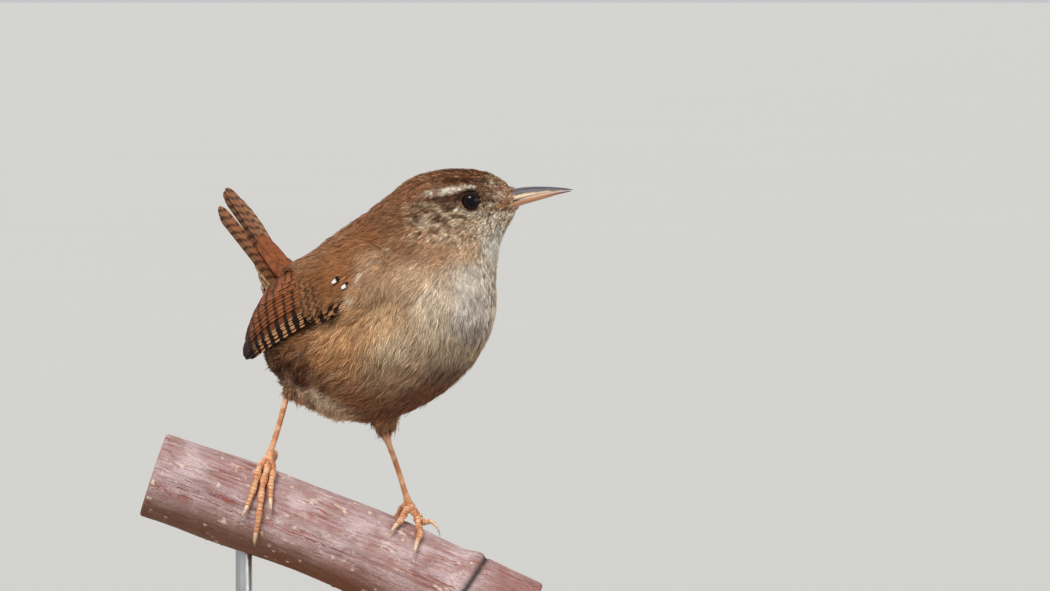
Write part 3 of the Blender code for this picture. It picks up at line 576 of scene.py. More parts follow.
def nearLine(places, line):
    # the distance to a run of points, and how far along it the nearest place is, from 0 to 1
    line = np.asarray(line, float)
    best = np.full(len(places), 1e9)
    where = np.zeros(len(places))
    for k, (start, end) in enumerate(zip(line, line[1:])):
        run = end - start
        t = np.clip((places - start) @ run / (run @ run), 0, 1)
        gap = np.linalg.norm(places - start - t[:, None] * run, axis=1)
        closer = gap < best
        best[closer] = gap[closer]
        where[closer] = ((k + t) / (len(line) - 1))[closer]
    return best, where


faceLines = {
    "brow": ((6.9, 5.7, 3.15), (5.8, 6.1, 3.2), (4.4, 6.6, 3.1), (2.2, 7.1, 2.55), (0.0, 7.5, 2.1),
             (-1.8, 7.5, 1.9), (-3.4, 7.4, 1.8), (-5.0, 7.3, 1.4), (-6.8, 7.2, 1.2)),
    "aboveBrow": ((10.2, 3.6, 4.2), (8.4, 4.2, 4.8), (6.4, 4.8, 5.0), (4.0, 5.6, 4.7), (1.4, 6.3, 4.0), (-1.6, 6.6, 3.5)),
    "behindEye": ((3.9, 7.0, 1.1), (1.4, 7.6, 0.9), (-0.7, 7.8, 0.6), (-3.0, 7.8, 0.2), (-6.0, 7.6, -0.5)),
    "beforeEye": ((8.9, 5.0, 0.3), (10.0, 4.5, 0.4), (11.2, 3.8, 0.1)),
    "moustache": ((9.2, 4.4, -2.6), (7.4, 5.4, -3.2), (6.4, 5.8, -4.0), (4.6, 6.3, -4.8)),
    "gape": ((13.4, 1.9, 0.0), (12.4, 2.7, -0.5), (11.3, 3.5, -1.4)),
    "gapeSkin": ((13.2, 2.1, -0.2), (11.6, 3.3, -0.9), (10.0, 4.3, -1.5), (8.8, 4.8, -1.8)),
    "under": ((9.0, 4.8, -1.5), (7.2, 5.6, -2.1), (5.4, 6.2, -2.0), (3.8, 6.8, -1.4)),
}
bodyLines = {
    # fold lines: creases between masses of feathers, painted dark as painted shadow; the seam carries pale wisps
    "fold": ((30.0, 11.6, 85.2), (27.1, 12.2, 82.1), (24.5, 12.4, 79.8), (21.3, 12.5, 77.6), (18.0, 12.0, 75.6)),
    "bellyFoldShadow": ((30.4, 5.3, 79.3), (26.9, 6.6, 76.9), (22.6, 7.1, 74.3), (16.9, 6.2, 71.1)),
    "seam": ((23.6, 12.4, 103.4), (22.8, 13.6, 102.1), (21.7, 16.4, 99.7), (20.8, 17.6, 97.0), (19.6, 18.1, 93.5)),
}
marks = {
    "browPale": paint(232, 218, 196),
    "dark": paint(50, 32, 22),
    # a brown for the face's real brown lines, used too as painted shadow along the folds of the coat
    "brownLineAndFoldShade": paint(82, 54, 36),
    "pale": paint(222, 202, 172),
    "barDark": paint(48, 29, 19),
    "white": paint(232, 226, 212),
    "gape": paint(158, 104, 58),
    "buff": paint(188, 152, 116),
}


def markings(places, normals):
    # ground colour with the face's lines, the same for the skin and for every feather over it
    way, sizes, colour = readLie(places, normals)
    face = toHead(places)
    face[:, 1] = np.abs(face[:, 1])
    onFace = step(-16, -10, face[:, 0])

    def lay(colourNow, share):
        nonlocal colour
        colour = colour + (colourNow - colour) * np.clip(share, 0, 1)[:, None]

    patches = mottle(places, 1.1, 3)
    fine = mottle(places, 0.6, 4)
    tiny = mottle(places, 0.42, 41)
    streaks = mottle(face * np.array([0.30, 1, 1]), 0.36, 6)
    crown = onFace * step(2.6, 4.0, face[:, 2]) * step(14.5, 12.0, face[:, 0])
    front = 0.35 + 0.65 * step(-3, 6, face[:, 0])
    lay(marks["dark"], 0.72 * crown * front * step(0.50, 0.66, streaks))
    lay(marks["pale"], 0.16 * crown * step(0.44, 0.28, streaks))
    gap, where = nearLine(face, faceLines["aboveBrow"])
    lay(marks["dark"], 0.85 * onFace * step(1.05, 0.3, gap) * (1 - 0.75 * where) * (0.35 + 0.65 * step(0.4, 0.6, streaks)))
    gap, where = nearLine(face, faceLines["behindEye"])
    lay(marks["brownLineAndFoldShade"], 0.95 * onFace * step(1.5, 0.6, gap) * (1.0 - 0.5 * where))
    lay(marks["dark"], 0.75 * onFace * step(1.2, 0.3, gap) * step(0.44, 0.62, fine) * (1.0 - 0.6 * where))
    gap, where = nearLine(face, faceLines["beforeEye"])
    lay(marks["brownLineAndFoldShade"], 0.8 * onFace * step(0.95, 0.2, gap) * (0.45 + 0.55 * patches))
    # cheek: pale, with dark curved flecks that thin out downwards
    cheek = step(-9, -4, face[:, 0]) * step(0.4, -1.0, face[:, 2]) * step(-10.5, -6.5, face[:, 2])
    curls = mottle(face * np.array([0.55, 1, 1]) + 3, 0.44, 43)
    lay(marks["pale"], 0.75 * cheek * step(0.50, 0.64, curls))
    lay(marks["dark"], 0.78 * cheek * step(0.44, 0.32, curls) * (1 - 0.6 * step(-2, -8, face[:, 2])))
    lay(marks["brownLineAndFoldShade"], 0.35 * cheek * step(0.60, 0.75, fine) * step(5, 0, face[:, 0]))
    gap, where = nearLine(face, faceLines["brow"])
    width = np.interp(where, (0, 0.12, 0.4, 0.6, 1), (0.45, 0.65, 1.0, 0.95, 1.0))
    broken = 1 - 0.9 * step(0.46, 0.56, where) * step(0.44, 0.36, mottle(places, 1.0, 44))
    flecks = 1 - 0.6 * step(0.56, 0.70, tiny)
    lay(marks["browPale"], 1.0 * onFace * step(width, 0.45 * width, gap) * broken * flecks)
    gap, where = nearLine(face, faceLines["moustache"])
    lay(marks["dark"], 1.0 * onFace * step(0.75, 0.25, gap) * step(0.50, 0.62, fine) * (1 - 0.3 * where))
    gap, where = nearLine(face, faceLines["under"])
    lay(marks["browPale"], 0.65 * onFace * step(0.8, 0.3, gap) * step(0.40, 0.58, fine))
    gap, where = nearLine(face, faceLines["gape"])
    lay(marks["dark"], 0.85 * onFace * step(0.40, 0.15, gap))
    # the lore and the forehead: buff, finely peppered
    lore = onFace * step(8.4, 10.0, face[:, 0]) * step(-1.4, -0.2, face[:, 2])
    lay(marks["pale"], 0.60 * lore * step(0.46, 0.62, streaks))
    lay(marks["dark"], 0.40 * lore * step(0.42, 0.28, tiny))
    chin = onFace * step(7.0, 9.0, face[:, 0]) * step(-1.2, -2.4, face[:, 2])
    lay(marks["browPale"], 0.75 * chin * step(0.44, 0.56, tiny))
    lay(marks["dark"], 0.45 * chin * step(0.36, 0.26, tiny))
    gap, where = nearLine(face, faceLines["gapeSkin"])
    lay(marks["gape"], 0.85 * onFace * step(0.75, 0.3, gap) * (1 - 0.5 * where))
    eyeGap = np.hypot(face[:, 0] - eye["place"][0], (face[:, 2] - eye["place"][2]) * 1.1)
    rim = onFace * step(3.1, 2.4, eyeGap) * (face[:, 1] > 3)
    lay(marks["brownLineAndFoldShade"], 0.7 * rim * step(1.0, 2.0, face[:, 2] - eye["place"][2] + 1.5 * (6.0 - face[:, 0]) / 3))
    lay(marks["browPale"], 0.8 * rim * step(-0.8, -1.8, face[:, 2] - eye["place"][2]) * step(0.30, 0.5, fine))
    # throat: pale, faintly flecked; low flank: mottled
    throat = step(8, 12, face[:, 0] + 0.6 * face[:, 2] * -1) * step(-2, -5, face[:, 2]) * step(-16, -10, face[:, 2])
    lay(marks["brownLineAndFoldShade"], 0.20 * throat * step(0.60, 0.76, fine))
    mirrored = places * np.array([1, 1, 1.0])
    mirrored[:, 1] = np.abs(mirrored[:, 1])
    side = mirrored[:, 1] > 5
    lowFlank = step(18, 6, places[:, 0]) * step(89, 81, places[:, 2]) * side
    lay(marks["barDark"], 0.80 * lowFlank * step(0.55, 0.68, mottle(places * np.array([0.7, 1, 1]), 0.85, 8)))
    lay(marks["pale"], 0.30 * lowFlank * step(-4, 6, places[:, 0]) * step(0.58, 0.76, mottle(places, 0.8, 15)))
    # the two fold lines are painted dark where shade falls between masses of feathers: painted shadow
    gap, where = nearLine(mirrored, bodyLines["fold"])
    lay(marks["brownLineAndFoldShade"], 0.80 * step(1.2, 0.2, gap) * step(0.30, 0.55, patches) * (1 - 0.3 * where))
    gap, where = nearLine(mirrored, bodyLines["bellyFoldShadow"])
    lay(marks["brownLineAndFoldShade"], 0.60 * step(1.3, 0.2, gap))
    gap, where = nearLine(mirrored, bodyLines["seam"])
    wisps = step(0.45, 0.62, mottle(places * np.array([0.6, 1, 0.6]), 0.5, 45))
    lay(marks["browPale"], 0.60 * step(1.3, 0.3, gap) * wisps)
    # the folded wing's small coverts are browner than the back
    lay(paint(138, 90, 55), 0.8 * coverShare(places))
    return way, sizes, np.clip(colour, 0, 1)


def coverShare(places):
    # the small coverts of the folded wings
    along, across = onWing(places)
    top = np.interp(along, (6, 10, 16, 22), (0.5, 3.0, 5.5, 8.4))
    across0 = step(top + 0.6, top - 1.2, across) * step(-5.4, -4.2, across)
    return step(8.5, 12.5, along) * across0 * (np.abs(places[:, 1]) > 9)


def barredShare(places):
    # how strongly the feathers are barred: the rear flanks, the vent and the rump, faintly the back
    x, z = places[:, 0], places[:, 2]
    rear = step(8, -8, x) * step(92, 84, z)
    rump = 0.45 * step(4, -8, x) * step(92, 97, z)
    back = 0.16 * step(24, 12, x) * step(96, 100, z)
    return np.clip(rear + rump + back + 0.85 * coverShare(places), 0, 1)


def readLayer(mesh, name):
    values = np.empty(len(mesh.vertices), np.float32)
    mesh.attributes[name].data.foreach_get("value", values)
    return values


def eyeFrame(side):
    # the eye's centre, and its directions ahead, up and outward
    centre = fromHead(np.array(eye["place"]) * np.array([1, side, 1]))
    out = unit(np.array([0.16, side * 1.0, 0.02])) @ headAxes()
    rise = unit(np.array([0, 0, 1.0]) - out * out[2])
    return centre, np.cross(rise, out) * side * -1, rise, out


def seatEye(points, side):
    # the skin sinks into a shallow dish round the eye, under the lid
    centre, ahead, rise, out = eyeFrame(side)
    offset = points - centre
    reach = np.hypot(offset @ ahead, (offset @ rise) * 1.1)
    depth = offset @ out
    limit = 0.95 + 0.55 * step(2.3, 3.4, reach) + 2.0 * step(2.9, 4.4, reach)
    near = (reach < 4.4) & (depth > limit)
    return points - np.where(near, depth - limit, 0)[:, None] * out


def makeLid(side):
    # a ring of soft skin that hugs the eye, flatter along its upper edge, with beads along its rim
    around, section = 120, 12
    turn = np.linspace(0, 2 * math.pi, around, endpoint=False)[:, None]
    ring = np.linspace(0, 2 * math.pi, section, endpoint=False)[None, :]
    wide, high = 2.18, 1.96 - 0.20 * np.clip(np.sin(turn), 0, 1)
    beads = 0.035 * np.cos(turn * 34) + 0.02 * np.cos(turn * 47 + 1)
    thick = 0.20 + beads
    across = (wide + thick * np.cos(ring)) * np.cos(turn)
    up = (high + thick * np.cos(ring)) * np.sin(turn)
    depth = 1.16 + thick * np.sin(ring) + 0.06 * np.sin(turn)
    centre, ahead, rise, out = eyeFrame(side)
    spots = centre + ahead * across[..., None] + rise * up[..., None] + out * depth[..., None]
    i, j = np.meshgrid(np.arange(around), np.arange(section), indexing="ij")
    corner = lambda a, b: (a % around) * section + b % section
    faces = np.stack([corner(i, j), corner(i + 1, j), corner(i + 1, j + 1), corner(i, j + 1)], -1).reshape(-1, 4)
    piece = makeMesh("lid", spots.reshape(-1, 3), faces, [])
    beaded = step(0.2, -0.4, np.sin(turn)) * step(0.2, 0.8, np.cos(turn * 34))
    setLayer(piece.data, "lid", (1 + np.broadcast_to(beaded, across.shape)).ravel())
    selectOnly(piece)
    bpy.ops.object.mode_set(mode="EDIT")
    bpy.ops.mesh.select_all(action="SELECT")
    bpy.ops.mesh.normals_make_consistent(inside=False)
    bpy.ops.object.mode_set(mode="OBJECT")
    return piece


def makeSkin():
    copies = []
    for name in ("torso", "neck", "head", "thigh_left", "thigh_right"):
        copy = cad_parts[name].copy()
        copy.data = copy.data.copy()
        bpy.context.scene.collection.objects.link(copy)
        copies.append(copy)
    selectOnly(*copies)
    bpy.ops.object.join()
    skin = bpy.context.view_layer.objects.active
    skin.name = "skin"
    skin.parent = None
    bpy.ops.object.mode_set(mode="EDIT")
    bpy.ops.mesh.select_all(action="SELECT")
    bpy.ops.mesh.remove_doubles(threshold=1e-5)
    bpy.ops.object.mode_set(mode="OBJECT")
    bpy.ops.object.duplicate()
    shell = bpy.context.active_object
    modify(skin, "DISPLACE", strength=0.00028, mid_level=0.0)
    modify(skin, "REMESH", mode="VOXEL", voxel_size=0.00058)
    modify(skin, "SMOOTH", factor=0.5, iterations=9)
    modify(skin, "SHRINKWRAP", target=shell, wrap_method="NEAREST_SURFACEPOINT")
    modify(skin, "SMOOTH", factor=0.5, iterations=5)
    bpy.data.objects.remove(shell, do_unlink=True)
    mesh = skin.data
    for name in [layer.name for layer in mesh.uv_layers]:
        mesh.uv_layers.remove(mesh.uv_layers[name])
    outer, normals = meshPoints(mesh), meshNormals(mesh)
    inner = outer - normals * readLie(outer, normals)[1][:, 2:3] * 0.8
    for side in (1, -1):
        inner = seatEye(inner, side)
    mesh.vertices.foreach_set("co", (inner * mm).astype(np.float32).ravel())
    mesh.update()
    selectOnly(skin, makeLid(1), makeLid(-1))
    bpy.ops.object.join()
    mesh.shade_smooth()
    selectOnly(skin)
    bpy.ops.object.mode_set(mode="EDIT")
    bpy.ops.mesh.select_all(action="SELECT")
    bpy.ops.uv.smart_project(angle_limit=math.radians(66), island_margin=0.004)
    bpy.ops.object.mode_set(mode="OBJECT")
    mesh.uv_layers[0].name = "OFBake"
    return skin


def trianglesOf(mesh):
    mesh.calc_loop_triangles()
    corners = np.empty(len(mesh.loop_triangles) * 3, np.int32)
    mesh.loop_triangles.foreach_get("vertices", corners)
    loops = np.empty_like(corners)
    mesh.loop_triangles.foreach_get("loops", loops)
    return corners.reshape(-1, 3), loops.reshape(-1, 3)


def scatterRoots(mesh, share=1.0):
    # roots spread over a mesh, closer together where the feathers are short
    points, normals = meshPoints(mesh), meshNormals(mesh)
    corners, loops = trianglesOf(mesh)
    spots = points[corners]
    areas = 0.5 * np.linalg.norm(np.cross(spots[:, 1] - spots[:, 0], spots[:, 2] - spots[:, 0]), axis=1)
    middles = spots.mean(axis=1)
    sizes = readLie(middles, unit(normals[corners].mean(axis=1)))[1]
    spacing = (coat["spacing"][0] + coat["spacing"][1] * sizes[:, 0]) / share**0.5
    wanted = areas / spacing**2
    count = int(6 * wanted.sum())
    chosen = draw.choice(len(wanted), count, p=wanted / wanted.sum())
    one, two = draw.random((2, count))
    flip = one + two > 1
    one[flip], two[flip] = 1 - one[flip], 1 - two[flip]
    shares = np.stack([1 - one - two, one, two], axis=1)[:, :, None]
    places = (points[corners[chosen]] * shares).sum(axis=1)
    outward = unit((normals[corners[chosen]] * shares).sum(axis=1))
    flat = np.empty(len(mesh.loops) * 2, np.float32)
    mesh.uv_layers["OFBake"].uv.foreach_get("vector", flat)
    flat = (flat.reshape(-1, 2)[loops[chosen]] * shares).sum(axis=1)
    rung = np.round(np.log(spacing[chosen]) / 0.12)
    cells = np.floor(places / np.exp(rung * 0.12)[:, None]).astype(np.int64)
    keys = ((rung.astype(np.int64) * 4096 + cells[:, 0]) * 4096 + cells[:, 1]) * 4096 + cells[:, 2]
    kept = np.unique(keys, return_index=True)[1]
    return places[kept], outward[kept], flat[kept]


def wingCover(side, rows=64, columns=44):
    # a smooth sheet over the folded wing that dips under the skin all round it, for the coat to lie on
    along = np.linspace(-6.0, 42.0, rows)[:, None]
    low = np.interp(along, (-6, 0, 4, 8, 14, 20, 30, 42), (-3, -3.2, -3.6, -4.3, -4.5, -3.6, -2.2, -0.8))
    high = np.interp(along, (-6, 0, 4, 8, 14, 20, 24, 30, 34, 38, 42), (2, 3.0, 5.0, 7.0, 8.4, 8.8, 8.8, 8.0, 6.0, 3.8, 1.6))
    spread = np.linspace(-4.5, 4.5, columns)[None, :]
    share = (spread + 4.5) / 9
    across = (low - 4.5) + (high - low + 9.0) * share
    outside = np.maximum(np.maximum(low - across, across - high), 0)
    outside = np.hypot(outside, np.maximum(4.0 - along, 0) * 0.62)
    rise = 1.15 - 3.8 * (1 - np.exp(-((outside / 2.4) ** 2)))
    return wingPlace(side, along, across, rise)


def wingGap(places):
    # how far a place lies inside the sheet of the folded wing
    along, across = onWing(places)
    return wingPlace(1, along, across, 0.0)[:, 1] - np.abs(places[:, 1])


def underWing(places):
    along, across = onWing(places)
    low = np.interp(along, (4, 8, 14, 20, 30, 40), (-2.0, -4.0, -4.4, -4.2, -3.0, -0.6))
    high = np.interp(along, (4, 8, 14, 20, 30, 40), (3.5, 6.0, 7.6, 8.0, 7.0, 5.0))
    inside = step(5, 7, along) * step(low - 0.2, low + 0.4, across) * step(high + 0.3, high - 0.4, across)
    return inside * (np.abs(places[:, 1]) > 6.0) * step(5.0, 3.6, wingGap(places))


class Ground:
    # the surface that feathers lie along: the skin, and the sheets over the wings
    def __init__(self, skin):
        points = meshPoints(skin.data)
        corners = trianglesOf(skin.data)[0]
        normals = meshNormals(skin.data)
        self.sheets = {}
        for side in (1, -1):
            sheet = wingCover(side)
            rows, columns = sheet.shape[:2]
            faces = gridFaces(rows, columns)
            faces = np.concatenate([faces[:, [0, 1, 2]], faces[:, [0, 2, 3]]])
            out = np.cross(np.gradient(sheet, axis=0).reshape(-1, 3), np.gradient(sheet, axis=1).reshape(-1, 3))
            out = unit(out)
            out *= np.where(out[:, 1:2] * side < 0, -1, 1)
            self.sheets[side] = (sheet.reshape(-1, 3), faces, out)
            corners = np.concatenate([corners, faces + len(points)])
            points = np.concatenate([points, sheet.reshape(-1, 3)])
            normals = np.concatenate([normals, out])
        for name in ("bill_upper", "bill_lower"):
            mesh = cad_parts[name].data
            corners = np.concatenate([corners, trianglesOf(mesh)[0] + len(points)])
            points = np.concatenate([points, meshPoints(mesh)])
            normals = np.concatenate([normals, meshNormals(mesh)])
        self.points, self.corners, self.normals = points, corners, normals
        self.tree = BVHTree.FromPolygons(points.tolist(), corners.tolist())

    def onSheet(self, side, along, across):
        # places on a wing's sheet, met from outside
        points, faces, normals = self.sheets[side]
        tree = BVHTree.FromPolygons(points.tolist(), faces.tolist())
        found, triangles = [], []
        for spot in wingPlace(side, along, across, 0.0).tolist():
            at, _, triangle, _ = tree.find_nearest(spot)
            found.append(at[:])
            triangles.append(triangle)
        return np.array(found), unit(normals[faces[triangles]].mean(axis=1))

    def nearest(self, places):
        found, triangles = [], []
        for spot in places.tolist():
            at, _, triangle, _ = self.tree.find_nearest(spot)
            found.append(at[:])
            triangles.append(triangle)
        found = np.array(found)
        corners = self.corners[triangles]
        gaps = np.linalg.norm(self.points[corners] - found[:, None], axis=2)
        weights = 1 / (gaps + 0.02)
        weights /= weights.sum(axis=1, keepdims=True)
        return found, unit((self.normals[corners] * weights[:, :, None]).sum(axis=1))


def barbPlan(count):
    # barbs of one feather: for each, its start, middle and end along the shaft and out from it
    plan = []
    for side in (1, -1):
        for k in range(count):
            t = (k + 0.5 + 0.25 * side) / count
            start = 0.04 + 0.80 * t
            reach = 0.56 - 0.26 * t
            out = (0.30 + 0.70 * (k % 3) / 2) * (1 - 0.45 * t**2)
            end = start + reach
            plan.append(((start, 0.0), (start + 0.40 * reach, 0.72 * out * side), (end, out * side)))
    plan.append(((0.0, 0.0), (0.55, 0.0), (1.02, 0.0)))
    return np.array(plan)


def growFeathers(roots, ground):
    # the points, the colours and the triangles of all the feathers, as arrays with a row for each feather
    spots, normals = roots["place"], roots["normal"]
    count = len(spots)
    way, sizes, colour0 = markings(spots, normals)
    drift = (mottle(spots, 4.5, 31) - 0.5) * 0.8 * np.clip(sizes[:, 0] / 5, 0.15, 1)
    turn = (drift + draw.normal(0, 0.11, count) + roots["turn"])[:, None]
    across = np.cross(normals, way)
    way = unit(way * np.cos(turn) + across * np.sin(turn))
    length = sizes[:, :1] * roots["size"][:, None] * draw.uniform(0.78, 1.16, (count, 1))
    width = sizes[:, 1:2] * draw.uniform(0.80, 1.15, (count, 1))
    stand = sizes[:, 2:3] * draw.uniform(0.7, 1.15, (count, 1)) + roots["lift"][:, None]
    stand = stand + 0.5 * roots["loose"][:, None] * draw.random((count, 1)) ** 2
    middle, normal1 = ground.nearest(spots + way * length * 0.5)
    way1, _, colour1 = markings(middle, normal1)
    way1 = unit(way1 * np.cos(turn) + np.cross(normal1, way1) * np.sin(turn))
    tip, normal2 = ground.nearest(middle + way1 * length * 0.5)
    colour2 = markings(tip, normal2)[2]
    middle = middle + normal1 * stand * 0.62
    tip = tip + normal2 * stand
    root = spots - normals * coat["rootSunk"]
    bend = 2 * middle - 0.5 * (root + tip)

    plan = barbPlan(coat["barbs"])
    barbs = len(plan)
    wobble = draw.normal(0, 1, (count, barbs, 1))
    loose = roots["loose"][:, None, None]
    u = plan[None, :, :, 0] + np.array([0.0, 0.02, 0.05]) * wobble * (0.6 + loose)
    v = plan[None, :, :, 1] * (1 + np.array([0.0, 0.12, 0.16]) * wobble)
    v = v + np.array([0.0, 0.08, 0.24]) * draw.normal(0, 1, (count, barbs, 1)) * (0.4 + loose)
    u, v = u[..., None], v[..., None]

    def mixed(a, b, c):
        return (1 - u) ** 2 * a + 2 * u * (1 - u) * b + u**2 * c

    spread = [x[:, None, None, :] for x in (root, bend, tip)]
    spine = mixed(*spread)
    along = unit(2 * (1 - u) * (spread[1] - spread[0]) + 2 * u * (spread[2] - spread[1]))
    out = unit(normals[:, None, None] * (1 - u) + normal2[:, None, None] * u)
    sideways = np.cross(out, along)
    half = 0.5 * width[:, None, None, :]
    lifted = draw.normal(0, 1, (count, barbs, 1, 1)) * (0.05 + 0.12 * loose[..., None])
    places = spine + sideways * v * half - out * 0.10 * v**2 * half + out * lifted * u * 2
    run = unit(places[:, :, 2] - places[:, :, 0])[:, :, None]
    roll = draw.normal(0, 0.45, (count, barbs, 1, 1))
    flat = unit(np.cross(out, run))
    edge = flat * np.cos(roll) + out * np.sin(roll)
    thick = coat["barbWidth"] * np.clip(length / 4.5, 0.60, 1.15)[:, :, None, None]
    wide = places[:, :, :2] + edge[:, :, :2] * thick * np.array([1.0, 0.85])[:, None]
    narrow = places[:, :, :2] - edge[:, :, :2] * thick * np.array([1.0, 0.85])[:, None]
    points = np.stack([wide[:, :, 0], narrow[:, :, 0], wide[:, :, 1], narrow[:, :, 1], places[:, :, 2]], axis=2)

    # colour at the start, the middle and the end of each barb
    t = np.clip(u[..., 0], 0, 1)[..., None]
    tone = np.where(t < 0.5, 1, 0) * (colour0[:, None, None] * (1 - 2 * t) + colour1[:, None, None] * 2 * t)
    tone = tone + np.where(t < 0.5, 0, 1) * (colour1[:, None, None] * (2 - 2 * t) + colour2[:, None, None] * (2 * t - 1))
    face = roots["face"]
    # each feather is darker towards its root: painted shade for the depth of the coat; each feather and each barb then
    # varies in tone at random
    shade = 0.55 + 0.45 * step(0.1, 0.75, t)
    shade = shade * np.exp(draw.normal(0, 1, count) * (0.11 + 0.20 * face))[:, None, None, None]
    shade = shade * np.exp(draw.normal(0, 1, (count, barbs, 1, 1)) * (0.17 + 0.16 * face)[:, None, None, None])
    centre = np.exp(-((v / 0.34) ** 2)) * step(0.98, 0.6, t)
    shade = shade * (1 - roots["centre"][:, None, None, None] * centre)
    shade = shade * (1 + 0.25 * roots["centre"][:, None, None, None] * step(0.5, 0.9, np.abs(v)))
    barred = barredShare(spots)[:, None, None]
    travel = np.sum(places * way[:, None, None], axis=3) + 0.5 * np.abs(v[..., 0])
    pitch = 1.9 - 0.3 * coverShare(spots)[:, None, None]
    onCoverts = np.flatnonzero(coverShare(spots) > 0.05)
    alongWing, acrossWing = onWing(places[onCoverts].reshape(-1, 3))
    scallop = alongWing + 0.7 * np.abs(np.sin(acrossWing * (math.pi / 1.5)))
    travel[onCoverts] = scallop.reshape(travel[onCoverts].shape)
    wave = np.sin(travel * (2 * math.pi / pitch) + 5.0 * (mottle(spots, 7.0, 9) - 0.5)[:, None, None])
    patchy = 0.45 + 0.55 * mottle(spots, 3.2, 12)[:, None, None]
    patchy[onCoverts] = 1.15
    dark = (barred * step(0.05, 0.75, wave) * patchy)[..., None]
    palest = (barred * step(0.3, 0.95, -wave) * patchy)[..., None]
    tone = tone * shade
    tone = tone + (marks["barDark"] - tone) * np.clip(0.85 * dark, 0, 0.9)
    tone = tone + (marks["buff"] - tone) * 0.34 * palest
    tone = np.stack([tone[:, :, 0], tone[:, :, 0], tone[:, :, 1], tone[:, :, 1], tone[:, :, 2]], axis=2)
    flatPlace = roots["flat"][:, None, None] + 0.0015 * np.stack([v[..., 0], 2 * u[..., 0] - 1], axis=-1) * 0.9
    flatPlace = np.stack([flatPlace[:, :, k] for k in (0, 0, 1, 1, 2)], axis=2)
    sideStep = np.array([[0.0002, 0], [-0.0002, 0], [0.0002, 0], [-0.0002, 0], [0, 0]])
    return points, np.clip(tone, 0, 1), flatPlace + sideStep


def buildCoat(name, points, tone, flat, chosen, finish):
    count, barbs = points[chosen].shape[:2]
    base = np.arange(count * barbs)[:, None, None] * 5
    triangles = (base + np.array([[0, 1, 3], [0, 3, 2], [2, 3, 4]])).reshape(-1, 3)
    piece = makeMesh(name, points[chosen].reshape(-1, 3), triangles, [finish])
    setLayer(piece.data, "tone", tone[chosen].reshape(-1, 3))
    setMap(piece.data, "OFBake", flat[chosen].reshape(-1, 2))
    return place(piece, "plumage")


def keepRoots(roots, mask):
    return {name: values[mask] for name, values in roots.items()}


def openWing(along, across):
    # where the folded wing's own vanes show: behind its coverts, and low along its front edge
    low = np.interp(along, (6, 10, 18, 26, 34, 42), (-5.2, -5.6, -5.2, -4.2, -3.0, -2.2))
    front = np.interp(across, (-6, -4.4, -3.2, -2.4, -1.8, -1.2, 1.4, 3.8, 6.2, 8.6, 9.6),
                      (7.0, 7.2, 7.8, 9.0, 17.0, 19.6, 19.3, 19.3, 19.6, 20.4, 23.0))
    return (across > low) & (along > front)


def gapOver(tree, spot):
    at, normal, _, _ = tree.find_nearest(spot)
    return (Vector(spot) - at).dot(normal)


